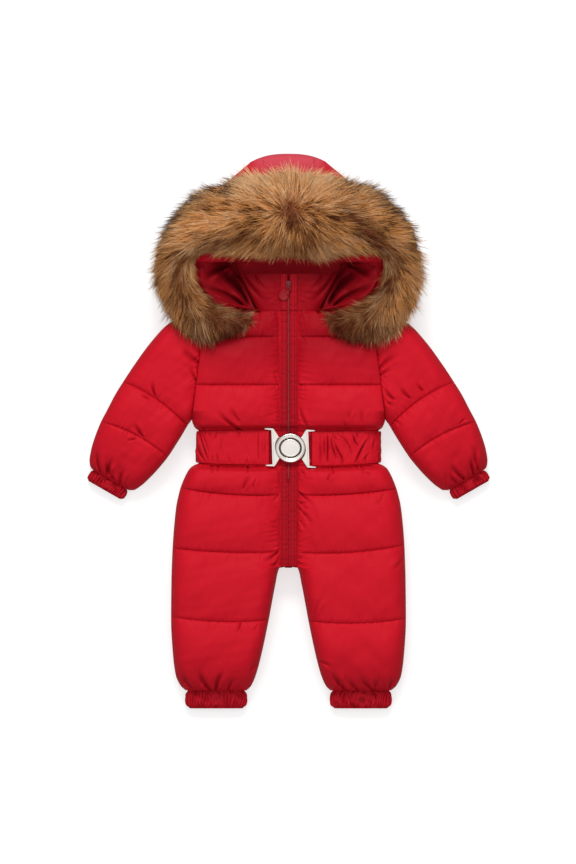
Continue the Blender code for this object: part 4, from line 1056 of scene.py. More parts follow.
def make_sleeves():
    tuck = sizes().tuck / MM
    for side, sign in SIDES.items():
        seed = 700 + 50 * sign
        rings = []
        for a, b in zip(SLEEVE_SEAMS, SLEEVE_SEAMS[1:]):
            t = np.linspace(0, 1, 60)[:-1]
            rings.append(a + (b - a) * (0.5 - 0.5 * np.cos(np.pi * t)) ** 0.92)
        rings = np.concatenate([*rings, SLEEVE_SEAMS[-1:]])
        x, y, ring, edge, length, across = sleeve_grid(rings, 1.7)
        puff, pinch = sleeve_value("puff", ring), sleeve_value("pinch", ring)
        height = baffle(puff, pinch, fullness(ring, SLEEVE_SEAMS))
        rise = height * rounded(edge, 30)
        loose, sunk, painted_shade = rounded(edge, 18), 0.0, np.zeros(x.shape)
        for k, seam in enumerate(SLEEVE_SEAMS):
            away = length - np.interp(seam, rings, length[:, 0])
            quilted = 0 < seam < 13
            if quilted:
                sunk = sunk + 0.7 * np.exp(-((away / 1.3) ** 2))
                painted_shade = np.maximum(painted_shade, np.exp(-((away / 0.8) ** 2)))
            deep, reach = (tuck, 13.0) if quilted else (tuck * (2.6 if seam else 1.2), 20.0)
            for half in (0, 1):
                mask = (away > 0) if half else (away <= 0)
                sunk = sunk + mask * tucks(across, away, reach, 7.0, deep, seed + 13 * k + half)
        sunk = sunk + creased(sign * x, y, CREASES[f"sleeve_{side}"])
        # painted shade on the seam lines and in the folds' valleys
        painted_shade = np.maximum(0.5 * painted_shade, painted_fold_shade(sunk, 0.5))
        sunk = sunk + 0.9 * noise(x, y, 55.0, seed + 9) + 0.35 * noise(x, y, 20.0, seed + 8)
        seam_at = sleeve_seam_z(x, y)
        z = seam_at + GAP / 2 + np.maximum(rise - sunk * loose, EDGE)
        top = points_of(sign * x, y, z)
        for seam in SLEEVE_SEAMS[1:3]:
            sew(top[np.abs(rings - seam).argmin(), 5:-5])
        low = top[:, [0, -1]].copy()
        low[..., 2] = seam_at[:, [0, -1]] + GAP / 2
        obj = shell(f"arm_front_{side}", top, low, shell_cloth(), attributes={"seam": painted_shade * loose})
        worn(obj, "shell_cloth", f"sleeve_front_{side}")

        full = seam_at - GAP / 2
        drop = full * rounded(edge, 26)
        sunk = 0.0
        for k, seam in enumerate(SLEEVE_SEAMS):
            away = length - np.interp(seam, rings, length[:, 0])
            sunk = sunk + (4.0 * np.exp(-((np.abs(away) / 7.0) ** 1.2)) if 0 < seam < 13 else 0)
            sunk = sunk + np.abs(tucks(across, away, 14.0, 8.0, 1.4, seed + 100 + k))
        z = seam_at - GAP / 2 - np.maximum(drop - np.maximum(sunk, 0) * loose, EDGE)
        bottom = points_of(sign * x, y, np.maximum(z, 0))
        low = bottom[:, [0, -1]].copy()
        low[..., 2] = seam_at[:, [0, -1]] - GAP / 2
        obj = shell(f"arm_back_{side}", bottom[:, ::2], low, shell_cloth(),
                    attributes={"seam": (painted_shade * loose)[:, ::2]})
        worn(obj, "shell_cloth", f"sleeve_back_{side}")


# ---------------------------------------------------------------- gathered cuffs

def gathered_cuff(name, node, start, across, axis, size, drop, seed):
    """A cuff of cloth gathered over elastic, flattened, with uneven ribs and a turned-in end."""
    half, length, tall = size
    start, across, axis = (np.array(v, float) for v in (start, across, axis))
    turn = np.linspace(0, 2 * math.pi, 421)[:-1][None]
    c, s = np.cos(turn), np.sin(turn)
    wide, high = np.sign(c) * np.abs(c) ** 0.5, np.sign(s) * np.abs(s) ** 0.62
    girth = np.cumsum(np.hypot(np.diff(wide[0] * half, prepend=wide[0, 0] * half),
                               np.diff(high[0] * tall, prepend=high[0, 0] * tall)))[None]

    def ribs(along):
        rib = np.sin(2 * math.pi * (girth / 4.6 + 0.4 * noise(girth, along * length, 24.0, seed)
                                    + 0.08 * along * np.sin(girth / 9)))
        rib = np.sign(rib) * np.abs(rib) ** 0.8
        return rib * (0.8 + 0.5 * noise(girth, along * length, 14.0, seed + 1))

    def skin(rows, inside):
        along = rows[:, None]
        belly = 1 - 0.05 * (2 * along - 1) ** 2
        mouth = 1 - 0.10 * eased(along, 0.8, 1.0) - 0.04 * eased(along, 0.2, 0.0)
        round_off = 1 - 0.38 * eased(along, 0.72, 1.0) ** 2 - 0.16 * eased(along, 0.25, 0.0)
        depth = 1.15 * (1 - 0.35 * eased(along, 0.85, 1.0))
        rib = ribs(along)
        if inside:
            sideways = wide * (half - 4.5) * belly * mouth
            up = high * 1.6 + 0 * sideways
        else:
            sideways = wide * (half * belly * mouth + 0.5 * depth * rib)
            up = high * (tall * round_off + depth * rib)
        place = start + across * sideways[..., None] + axis * (length * along)[..., None]
        return np.concatenate([place, (drop + up)[..., None]], axis=-1)

    rows = np.array([0, 0.04, 0.1, 0.18, 0.28, 0.4, 0.52, 0.64, 0.75, 0.84, 0.91, 0.96, 1.0])
    # painted shade in the valleys between the ribs
    hollow_shade = np.clip(0.15 - 0.6 * ribs(rows[:, None]), 0, 0.75)
    obj = shell(name, skin(rows, False), skin(rows, True), shaded_cuff_cloth(), ring=True,
                attributes={"seam": hollow_shade})
    worn(obj, "shell_cloth", node)
    return obj


def make_cuffs():
    wrist, ankle = SLEEVE[-1], TRUNK[-1]
    over, under = np.array([wrist.over_x, wrist.over_y]), np.array([wrist.under_x, wrist.under_y])
    edge = (over - under) / np.linalg.norm(over - under)
    down = np.array([edge[1], -edge[0]])
    for side, sign in SIDES.items():
        flip = np.array([sign, 1])
        gathered_cuff(f"wrist_{side}", f"wrist_cuff_{side}",
                      ((over + under) / 2 + down * GAP) * flip, edge * flip, down * flip,
                      (34.0, 19.0, 9.0), WRIST_SEAM_Z + 0.3, 900 + sign)
        gathered_cuff(f"ankle_{side}", f"ankle_cuff_{side}",
                      (sign * (ankle.x_in + ankle.x_out) / 2, ANKLE_Y - GAP), (sign, 0), (0, -1),
                      (49.5, -HEM_Y + ANKLE_Y - GAP, 9.5), ANKLE_SEAM_Z + 0.3, 910 + sign)


# ---------------------------------------------------------------- collar

COLLAR_CREASES = [Crease(*row) for row in (
    (-86, 252, -58, 212, 3, 5), (-70, 251, -48, 222, 2, 3.5),
    (73, 252, 40, 209, 3, 5), (54, 251, 38, 226, 1.8, 3.2),
    (-14, 222, -34, 226, 1.6, 3), (-14, 206, -30, 201, 1.6, 3),
    (14.5, 214, 32, 210, 1.8, 3), (14.5, 236, 34, 243, 1.6, 3.2),
)]


def collar_point(y, turn, depth, swell):
    t = (y - NECK_Y) / (COLLAR_TOP_Y - NECK_Y)
    half = COLLAR_HALF[0] + (COLLAR_HALF[1] - COLLAR_HALF[0]) * t - depth
    top = COLLAR_TOP_Z[0] + (COLLAR_TOP_Z[1] - COLLAR_TOP_Z[0]) * t
    middle, tall = (top + COLLAR_BASE_Z) / 2, (top - COLLAR_BASE_Z) / 2 - depth
    c, s = np.cos(turn), np.sin(turn)
    x = half * np.sign(c) * np.abs(c) ** 0.6
    z = middle + tall * np.sign(s) * np.abs(s) ** 0.6
    return points_of(x + 0 * y, y + 0 * turn, z + swell)


def make_collar():
    """Two front pieces that the zip parts, and a back piece, each puffed between its edges."""
    rows = np.linspace(NECK_Y + GAP, COLLAR_TOP_Y, 34)[:, None]
    t = (rows - NECK_Y) / (COLLAR_TOP_Y - NECK_Y)
    split, seam = 0.0016, 0.008
    bed = (PLACKET_BED / COLLAR_HALF[0]) ** (1 / 0.6)

    def piece(name, node, turns, fat, seed):
        turn = turns[None]
        puffed = np.sin(math.pi * np.clip(t, 0, 1)) ** 0.8
        puffed = puffed * rounded(np.abs(np.cos(turn)) - bed, 0.3)
        x = collar_point(rows, turn, 0, 0 * turn * rows)[..., 0]
        folds = tucks(rows * 60 / 59, np.abs(x) - PLACKET_BED, 26.0, 9.0, 1.6, seed)
        folds = folds + 0.9 * noise(x, rows, 34.0, seed + 3)
        folds = folds + creased(x * (1 if "left" in name else -1), rows, COLLAR_CREASES)
        swell = fat * puffed - folds * rounded(np.abs(np.cos(turn)) - bed, 0.2) * (fat > 0)
        outer = collar_point(rows, turn, 0, swell)
        inner = collar_point(rows, turn, COLLAR_WALL, 0 * swell)
        # painted shade: the collar lies in the trim's shadow, darker towards its top and its sides,
        # and in its folds
        painted_dimness = 0.66 + 0.18 * t + 0.14 * eased(np.abs(x), 25, 60)
        obj = shell(name, outer, inner, shell_cloth(),
                    attributes={"seam": np.maximum(painted_dimness, painted_fold_shade(folds, 0.8)) + 0 * x})
        worn(obj, "shell_cloth", node)

    quarter = np.append(np.linspace(seam, math.acos(bed), 44), math.pi / 2 - split)
    piece("neck_front_left", "collar_front_left", quarter, 3.4, 1000)
    piece("neck_front_right", "collar_front_right", math.pi - quarter, 3.4, 1010)
    piece("neck_back", "collar_back", np.linspace(-seam, seam - math.pi, 61), 0.0, 1020)


# ---------------------------------------------------------------- hood

def squareness(y):
    """How square the hood's section is: rounder towards its end."""
    return np.interp(y, (372, HOOD_END_Y), (HOOD_SQUARENESS, 2.3))


def hood_point(y, turn, depth, swell=0.0):
    half, top = column(HOOD, "half", y), column(HOOD, "top", y)
    c, s = np.maximum(np.cos(turn), 0.0), np.sin(turn)
    power = 2 / squareness(y)
    x = half * c**power
    past_seam = np.maximum(x - HOOD_STRIP - GAP, 0) / (half - HOOD_STRIP)
    z = top / 2 + (top / 2 - depth) * np.sign(s) * np.abs(s) ** power
    out = -depth * np.sqrt(past_seam) + swell * c**power
    return x + out, y + 0 * x, z + swell * np.sign(s) * np.abs(s) ** power


def hood_turn(y, x):
    return np.arccos(np.minimum(x / column(HOOD, "half", y), 1.0) ** (squareness(y) / 2))


def hood_crown(x):
    """The hood's rounded end: how far it reaches at a distance from the middle."""
    return CROWN_Y - 0.4 - 13.6 * (np.minimum(x, 61.2) / 61.2) ** 2.6


def hood_painted_light(skin, shaded):
    """The crown's front is faded, and the opening's rim lies in the trim's shade."""
    x, y, z = np.moveaxis(skin, -1, 0)
    faded = 0.75 * eased(y, 400, 432) * eased(z, 4, 26)
    return {"faded": faded * (1 - 0.7 * eased(np.abs(x), 45, 62)),
            "seam": shaded * (1 - eased(y, 285, 318))}


def make_hood():
    """Two sides and a middle strip, padded, with tucks along their seams."""
    rows = np.sort(np.concatenate([np.linspace(192.5, 262, 26), np.linspace(264, 274, 9),
                                   np.linspace(278, HOOD_END_Y, 46)]))[:, None]
    spread = np.linspace(0, 1, 72)[None]
    low, high = -hood_turn(rows, HOOD_RIM), hood_turn(rows, column(HOOD, "rim", rows))
    turn = low + (high - low) * spread
    for side, sign in SIDES.items():
        seed = 1100 + 10 * sign
        edge = np.minimum(spread, 1 - spread) * 240
        puff = -tucks(rows, edge, 18.0, 9.0, 1.4, seed)
        puff = puff - 0.8 * noise(turn * 70, rows, 50.0, seed + 1)
        puff = puff * eased(edge, 0, 8) * (np.sin(turn) > -0.55)
        skins = []
        for depth in (0, HOOD_WALL):
            x, y, z = hood_point(rows, turn, depth, puff if depth == 0 else 0 * puff)
            rise = hood_crown(x[-1]) - HOOD_END_Y
            angle = np.radians(np.linspace(0, 90, 14))[1:, None]
            middle = HOOD[-1].top / 2
            x = np.concatenate([x, x[-1:] + 0 * angle])
            y = np.concatenate([y, HOOD_END_Y + (rise - depth * 0.5) * np.sin(angle) + 0 * x[-1:]])
            z = np.concatenate([z, middle + (z[-1:] - middle) * np.cos(angle)])
            skins.append(points_of(sign * x, y, np.maximum(z, 0)))
        obj = shell(f"hood_shell_{side}", skins[0], skins[1], shell_cloth(),
                    attributes=hood_painted_light(skins[0], 0.7 * eased(spread, 0.75, 0.95)))
        worn(obj, "shell_cloth", f"hood_{side}")

    end = HOOD[-1]
    spread = np.linspace(-1, 1, 33)[None]

    def skin(depth):
        under = np.linspace(192.5, HOOD_END_Y, 70)[:-1][:, None]
        over = np.linspace(HOOD_END_Y, 270, 50)[1:][:, None]
        parts = []
        for y, face in ((under, -1), (over, 1)):
            x, _, z = hood_point(y, face * hood_turn(y, HOOD_STRIP * np.abs(spread)), depth)
            seam = (1 - np.abs(spread)) * HOOD_STRIP
            swell = (1.6 * np.sin(math.pi * np.clip((y - 262) / 250, 0, 1)) * eased(seam, 0, 14)
                     - tucks(y, seam, 12.0, 9.0, 1.3, 1200)) if face > 0 and depth == 0 else 0
            x = x * (1 + 2.5 / HOOD_STRIP * (depth > 0))  # the seam's allowance, inside
            parts.append(points_of(np.sign(spread) * x * (np.abs(spread) > 1e-9),
                                   y + 0 * x, z + swell * eased(seam, 0, 5)))
        turns = np.radians(np.linspace(-90, 90, 31))[:, None]
        reach = hood_crown(HOOD_STRIP * np.abs(spread)) - end.y - depth
        x = (HOOD_STRIP + 2.5 * (depth > 0)) * spread + 0 * turns
        z = end.top / 2 + (end.top / 2 - depth) * np.sin(turns)
        crown = points_of(x, end.y + reach * np.cos(turns), z + 0 * x)
        return np.concatenate([parts[0], crown, parts[1]])

    skins = skin(0), skin(HOOD_WALL + 0.4)
    obj = shell("hood_strip", *skins, shell_cloth(),
                attributes=hood_painted_light(skins[0], 0.7))
    worn(obj, "shell_cloth", "hood_middle")


def make_lining():
    """The cloth inside the face opening: on each side it runs down from the trim to the collar."""
    rows = np.linspace(190.8, 268, 52)[:, None]
    spread = np.linspace(0, 1, 60)[None]
    for side, sign in SIDES.items():
        t = (rows - 190.8) / 77.2
        inner = 52 + 26 * np.clip(t * 1.28, 0, 1.2)
        outer = np.interp(rows, (190.8, 196, 202, 208, 220, 240, 257, 268),
                          (94, 104, 114, 122, 131, 141, 142, 134))
        x = inner + (outer - inner) * spread
        low = np.interp(t, (0, 0.5, 1.0), (44, 34, 22))
        z = low + (70 - low) * eased(spread, 0.05, 1.0)
        fold = creased(x, rows, (
            Crease(66.0, 206.0, 112.0, 262.0, 9.0, 7.0),
            Crease(74.0, 202.0, 134.0, 230.0, 6.0, 6.0),
            Crease(96.0, 266.0, 130.0, 244.0, 6.0, 6.0)))
        fold = fold + 2.0 * noise(x + 9 * sign, rows, 30.0, 1300 + sign)
        z = z - fold * eased(spread, 0, 0.12) * eased(1 - spread, 0, 0.08)
        top = points_of(sign * x, rows + 0 * x, z)
        # painted shade: a dark recess near the collar, a darker strip along the inner edge, and the
        # folds' valleys
        recess_shade = 0.75 * np.exp(-(((np.abs(x) - 88) / 15) ** 2 + ((rows - 243) / 13) ** 2))
        painted_dimness = np.maximum(recess_shade + 0.25 * (1 - eased(spread, 0, 0.3)), painted_fold_shade(fold, 0.6))
        obj = shell(f"hood_lining_{side}", top, top - [0, 0, 2.0], shaded_lining_cloth(),
                    attributes={"seam": painted_dimness + 0 * x})
        worn(obj, "shell_cloth")


# ---------------------------------------------------------------- placket and zip

def front_z(y):
    """The height of the strip on which the zip and its placket lie."""
    y = np.asarray(y, float)
    t = (y - NECK_Y) / (COLLAR_TOP_Y - NECK_Y)
    collar = COLLAR_TOP_Z[0] + (COLLAR_TOP_Z[1] - COLLAR_TOP_Z[0]) * t
    return np.where(y <= NECK_Y, seam_z(y) + GAP / 2 + column(TRUNK, "channel", y), collar)


def laid_strip(name, rows, low_x, high_x, thick, relief, finish_of, lift=GAP, columns=31):
    """A flat strip down the front between two edges, with relief on its upper face."""
    y = rows[:, None]
    share = np.linspace(0, 1, columns)[None]
    a, b = low_x(y), high_x(y)
    x = a + (b - a) * share
    crown = 1 - 0.3 * np.abs(2 * share - 1) ** 4
    top = points_of(x, y + 0 * x, front_z(y) + lift + thick * crown + relief(x, y, share))
    low = points_of(x, y + 0 * x, front_z(y) + lift + 0 * x)
    # painted shade in the hollows of the tucks and stitch lines
    hollow_shade = np.clip(-0.42 * relief(x, y, share), 0, 0.6)
    for at in STITCH_LINES:
        at = math.copysign(at, x.mean())
        sew(np.array([[at, row[0, 1], np.interp(at, row[:, 0], row[:, 2])] for row in top]))
    return shell(name, top, low, finish_of, attributes={"seam": hollow_shade})


def make_placket():
    rows = np.arange(COLLAR_TOP_Y - 0.5, CROTCH_Y + 2.5, -1.4)
    right, left = PLACKET_WIDTH

    def inner_edge(y):
        return np.interp(y, (ZIP_STOP_Y - 6, ZIP_STOP_Y - 1), (GAP / 2, ZIP_HALF + 0.4))

    def relief(seed):
        def height(x, y, share):
            edge = np.minimum(share, 1 - share)
            fold = tucks(y, edge * 13, 9.0, 7.0, 1.0, seed)
            line = sum(0.6 * np.exp(-((np.abs(x) - at) / 0.6) ** 2) for at in STITCH_LINES)
            line = line + 0.6 * np.exp(-((y - BOX_Y) / 0.6) ** 2)
            return -(fold + line) * eased(edge, 0, 0.05)
        return height

    obj = laid_strip("placket_strip_right", rows, lambda y: -right + 0 * y,
                     lambda y: -inner_edge(y), PLACKET_THICK, relief(1400), shaded_placket_cloth())
    worn(obj, "shell_cloth", "placket_right")
    obj = laid_strip("placket_strip_left", rows, inner_edge, lambda y: left + 0 * y,
                     PLACKET_THICK, relief(1410), shaded_placket_cloth())
    worn(obj, "shell_cloth", "placket_left")


def node_group(name, **inputs):
    """A new node group and the tree in it, with a mesh in and out and the named inputs."""
    group = bpy.data.node_groups.new(name, "GeometryNodeTree")
    for key, kind in {"Geometry": "Geometry", **inputs}.items():
        group.interface.new_socket(key.replace("_", " "), in_out="INPUT",
                                   socket_type="NodeSocket" + kind)
    group.interface.new_socket("Geometry", in_out="OUTPUT", socket_type="NodeSocketGeometry")
    return group, Tree(group)


def ended(tree, geometry, finish_of):
    """Close a node tree: real meshes in their finish."""
    real = tree.add("GeometryNodeRealizeInstances", {}, {"Geometry": geometry})
    dressed = tree.add("GeometryNodeSetMaterial", {},
                       {"Geometry": real["Geometry"], "Material": finish_of})
    tree.add("NodeGroupOutput", {}, {"Geometry": dressed["Geometry"]})


def stored(tree, name, kind="FLOAT_VECTOR"):
    return tree.add("GeometryNodeInputNamedAttribute", {"data_type": kind},
                    {"Name": name})["Attribute"]


def turned_to(tree, up, way):
    """A rotation with Z along one direction, and X as near as it can be to another."""
    turn = tree.add("FunctionNodeAlignRotationToVector", {"axis": "Z"}, {"Vector": up})
    return tree.add("FunctionNodeAlignRotationToVector", {"axis": "X", "pivot_axis": "Z"},
                    {"Rotation": turn["Rotation"], "Vector": way})["Rotation"]


def stamp_tree(name):
    """A node tree that puts a shape on each point of a mesh, turned along its attribute."""
    group, tree = node_group(name, Shape="Object", Finish="Material", Size="Float",
                             Unevenness="Float")
    given = tree.add("NodeGroupInput")
    turn = turned_to(tree, stored(tree, "up"), stored(tree, "way"))
    jitter = tree.add("FunctionNodeRandomValue", {"data_type": "FLOAT"},
                      {"Min": -1.0, "Max": 1.0, "Seed": 7})["Value"]
    size = given["Size"] * (jitter * given["Unevenness"] + 1.0)
    shape = tree.add("GeometryNodeObjectInfo", {}, {"Object": given["Shape"], "As Instance": True})
    stamped = tree.add("GeometryNodeInstanceOnPoints", {}, {
        "Points": given["Geometry"], "Instance": shape["Geometry"], "Rotation": turn,
        "Scale": size})
    ended(tree, stamped["Instances"], given["Finish"])
    return group


def grown(obj, group, values):
    """Run a node tree on an object, and keep the plain mesh that it makes."""
    modifier = obj.modifiers.new("grow", "NODES")
    modifier.node_group = group
    for item in group.interface.items_tree:
        if item.in_out == "INPUT" and item.name in values:
            modifier[item.identifier] = values[item.name]
    return baked(obj)


def stamped(name, points, ways, size, bevel, finish_of, uneven):
    """Put a small bevelled block on each point, with its length along the point's way."""
    mesh = bpy.data.meshes.new(name)
    mesh.vertices.add(len(points))
    mesh.vertices.foreach_set("co", (np.asarray(points, float) * MM).ravel())
    for key, values in (("way", ways), ("up", np.tile([0, 0, 1], (len(points), 1)))):
        layer = mesh.attributes.new(key, "FLOAT_VECTOR", "POINT")
        layer.data.foreach_set("vector", np.asarray(values, np.float32).ravel())
    cloud = linked(name, mesh)
    block = bpy.data.meshes.new(name + "_block")
    with edited(block) as bm:
        bmesh.ops.create_cube(bm, size=1)
        bmesh.ops.scale(bm, vec=np.array(size) * MM, verts=bm.verts)
        bmesh.ops.bevel(bm, geom=bm.edges[:], offset=bevel * MM, segments=1, affect="EDGES")
    block.shade_smooth()
    shape = linked(name + "_block", block)
    grown(cloud, stamp_tree(name), {"Shape": shape, "Finish": finish_of, "Size": 1.0,
                                    "Unevenness": uneven})
    cloud.data.shade_smooth()
    worn(cloud, "trim_cloth")
    bpy.data.objects.remove(shape)


def make_zip():
    """The tape, its moulded teeth, the slider, and the round pull on its link."""
    y = np.append(np.arange(ZIP_TOP_Y, CROTCH_Y + 4, -3.0), CROTCH_Y + 0.4)[:, None]
    x = np.array([-5.6, -3.9, -2.5, -ZIP_HALF, -1.3, 0, 1.3, ZIP_HALF, 2.5, 3.9, 5.6])[None]
    proud = 0.9 * (np.abs(x) <= ZIP_HALF) * (y > ZIP_STOP_Y)
    top = points_of(x + 0 * y, y + 0 * x, front_z(y) + 0.26 + proud)
    obj = shell("zip_ribbon", top, points_of(x + 0 * y, y + 0 * x, front_z(y) + 0.04 + 0 * x),
                tape_cloth())
    worn(obj, "trim_cloth", "zip_chain")

    y = np.arange(ZIP_TOP_Y - 14, ZIP_STOP_Y + 4, -1.45)
    side = np.where(np.arange(len(y)) % 2, 1.0, -1.0)
    points = points_of(side * 0.62, y, front_z(y) + GAP + 1.75)
    stamped("zip_teeth", points, np.tile([1, 0, 0], (len(y), 1)), (1.9, 0.95, 1.5), 0.25,
            teeth(), 0.02)


def make_stitching():
    """The stitches of the placket and of the quilting seams, one small shape stamped on each."""
    places, ways = (np.concatenate(parts) for parts in zip(*SEWN))
    stamped("stitching", places + [0, 0, 0.08], ways, (sizes().stitch / MM, 0.5, 0.35), 0.16,
            thread(), 0.06)


def add_blocks(obj, blocks, bevel):
    """Add boxes with rounded edges, each between two corners in millimetres."""
    with edited(obj.data) as bm:
        for low, high in np.array(blocks, float):
            made = bmesh.ops.create_cube(bm, size=1)["verts"]
            bmesh.ops.scale(bm, vec=(high - low) * MM, verts=made)
            bmesh.ops.translate(bm, vec=(low + high) / 2 * MM, verts=made)
            edges = list({e for v in made for e in v.link_edges})
            bmesh.ops.bevel(bm, geom=edges, offset=bevel * MM, segments=3, affect="EDGES",
                            profile=0.5)
    smoothed(obj.data)


def plate(name, outline, low, high, bevel, finish_of):
    """A plate with rounded edges, from a closed outline."""
    curve = bpy.data.curves.new(name, "CURVE")
    curve.dimensions, curve.fill_mode = "2D", "BOTH"
    curve.extrude = ((high - low) / 2 - bevel) * MM
    curve.bevel_depth, curve.bevel_resolution = bevel * MM, 3
    curve.offset = -bevel * MM
    spline = curve.splines.new("POLY")
    spline.points.add(len(outline) - 1)
    for point, (x, y) in zip(spline.points, outline):
        point.co = (x * MM, y * MM, 0, 1)
    spline.use_cyclic_u = True
    guide = linked(name + "_outline", curve)
    depsgraph = bpy.context.evaluated_depsgraph_get()
    mesh = bpy.data.meshes.new_from_object(guide.evaluated_get(depsgraph))
    bpy.data.objects.remove(guide)
    with edited(mesh) as bm:
        bmesh.ops.remove_doubles(bm, verts=bm.verts, dist=0.00001)
        bmesh.ops.translate(bm, verts=bm.verts, vec=(0, 0, (low + high) / 2 * MM))
    mesh.name = name
    return placed(name, mesh, finish_of)


def lathe(name, profile, centre, finish_of, sides=120, oval=1.0, oval_to=1.0, lowest=1e9):
    """A solid turned round a vertical axis from a profile of (radius, z), from the top down.
    Inside the radius oval_to it is flattened along Y to the share oval."""
    turn = np.linspace(0, 2 * math.pi, sides + 1)[:-1]
    rings = [(r, z) for r, z in profile if r > 0]
    tall = [oval + (1 - oval) * max(0, (r - oval_to) / (max(q for q, _ in rings) - oval_to))
            if r > oval_to else oval for r, _ in rings]
    points = [[centre[0] + r * math.cos(a), centre[1] + r * math.sin(a) * share, z]
              for (r, z), share in zip(rings, tall) for a in turn]
    top, bottom = len(points), len(points) + 1
    points += [[centre[0], centre[1], profile[0][1]], [centre[0], centre[1], profile[-1][1]]]
    first, last = np.arange(sides), (len(rings) - 1) * sides + np.arange(sides)
    fans = [points_of(np.full(sides, hub), ring, np.roll(ring, -1))
            for hub, ring in ((top, first), (bottom, last))]
    # marks the groove's floor, which the metal darkens with painted shade
    groove = [1.0 * (lowest < z < lowest + 0.2) for _, z in rings for _ in turn] + [0, 0]
    mesh = mesh_from(name, points, [grid_quads(len(rings), sides, 0, True), np.concatenate(fans)],
                     {"groove": groove})
    return placed(name, mesh, finish_of)


def make_slider():
    floor = float(front_z(SLIDER_Y)) + GAP + PLACKET_THICK + GAP
    back, front, wide = SLIDER_Y - 6.5, SLIDER_Y + 6.5, 4.4
    outline = [(-wide * 0.62, back), (wide * 0.62, back), (wide, front - 4), (wide * 0.8, front),
               (-wide * 0.8, front), (-wide, front - 4)]
    body = plate("slider_plate", outline, floor, floor + 2.2, 0.5, lacquered_metal())
    low, high = 229.2, 235.8
    add_blocks(body, (((-1.2, low, floor + 1.6), (1.2, low + 1.3, floor + 5.6)),
                      ((-1.2, high - 1.3, floor + 1.6), (1.2, high, floor + 5.6)),
                      ((-1.2, low, floor + 5.1), (1.2, high, floor + 6.4))), 0.35)
    worn(body, "trim_cloth", "zip_slider")


def make_pull():
    """A round tab on a link that turns in the slider's bridge."""
    floor = float(front_z(SLIDER_Y)) + GAP + PLACKET_THICK + GAP
    axis_z, bar = floor + 3.5, PULL_THICK / 2
    low = float(front_z(PULL_Y)) + GAP + PLACKET_THICK + GAP
    high = low + PULL_THICK + 0.8
    rim = [(0, high - 0.5), (5.6, high - 0.5), (6.1, high - 0.35), (6.5, high), (7.3, high),
           (7.75, high - 0.2), (PULL_RADIUS, high - 0.7), (PULL_RADIUS, low + 0.6),
           (7.7, low + 0.1), (7.2, low), (0, low)]
    tab = lathe("pull_tab", rim, (PULL_X, PULL_Y), pull_rubber(), 72)
    eye, under, over = PULL_AXIS_Y, axis_z - bar, axis_z + bar
    add_blocks(tab, (((-3.3, eye - 0.7, under), (3.3, eye + bar, over)),
                     ((-3.3, eye - 7.0, under), (-1.9, eye + bar, over)),
                     ((1.9, eye - 7.0, under), (3.3, eye + bar, over)),
                     ((-3.3, eye - 7.9, under), (3.3, eye - 5.6, over)),
                     ((-3.0, PULL_Y + 2, low + 0.4), (1.2, SLIDER_Y - 7.1, over))), 0.3)
    worn(tab, "trim_cloth", "zip_pull", body="pull")


# ---------------------------------------------------------------- belt and buckle

def waist_line():
    """The line under the belt in the plane across the body: the panels' front, then their back,
    from the middle of the front to the middle of the back, on the wearer's left."""
    half = float(column(TRUNK, "x_out", WAIST_Y))
    x = np.concatenate([np.linspace(0, half - 30, 120), half - np.linspace(30, 0, 60) ** 1.0])
    place = np.full(x.shape, WAIST_Y)
    front = seam_z(WAIST_Y) + GAP / 2 + front_height(x, place, LEG_SEAMS)
    steps = np.array([0, 1, 4, 10, 19, 30])
    low = seam_z(WAIST_Y) - GAP / 2 - underside(half - steps, WAIST_Y + 0 * steps, 0, half)
    return x, front, half - steps, low


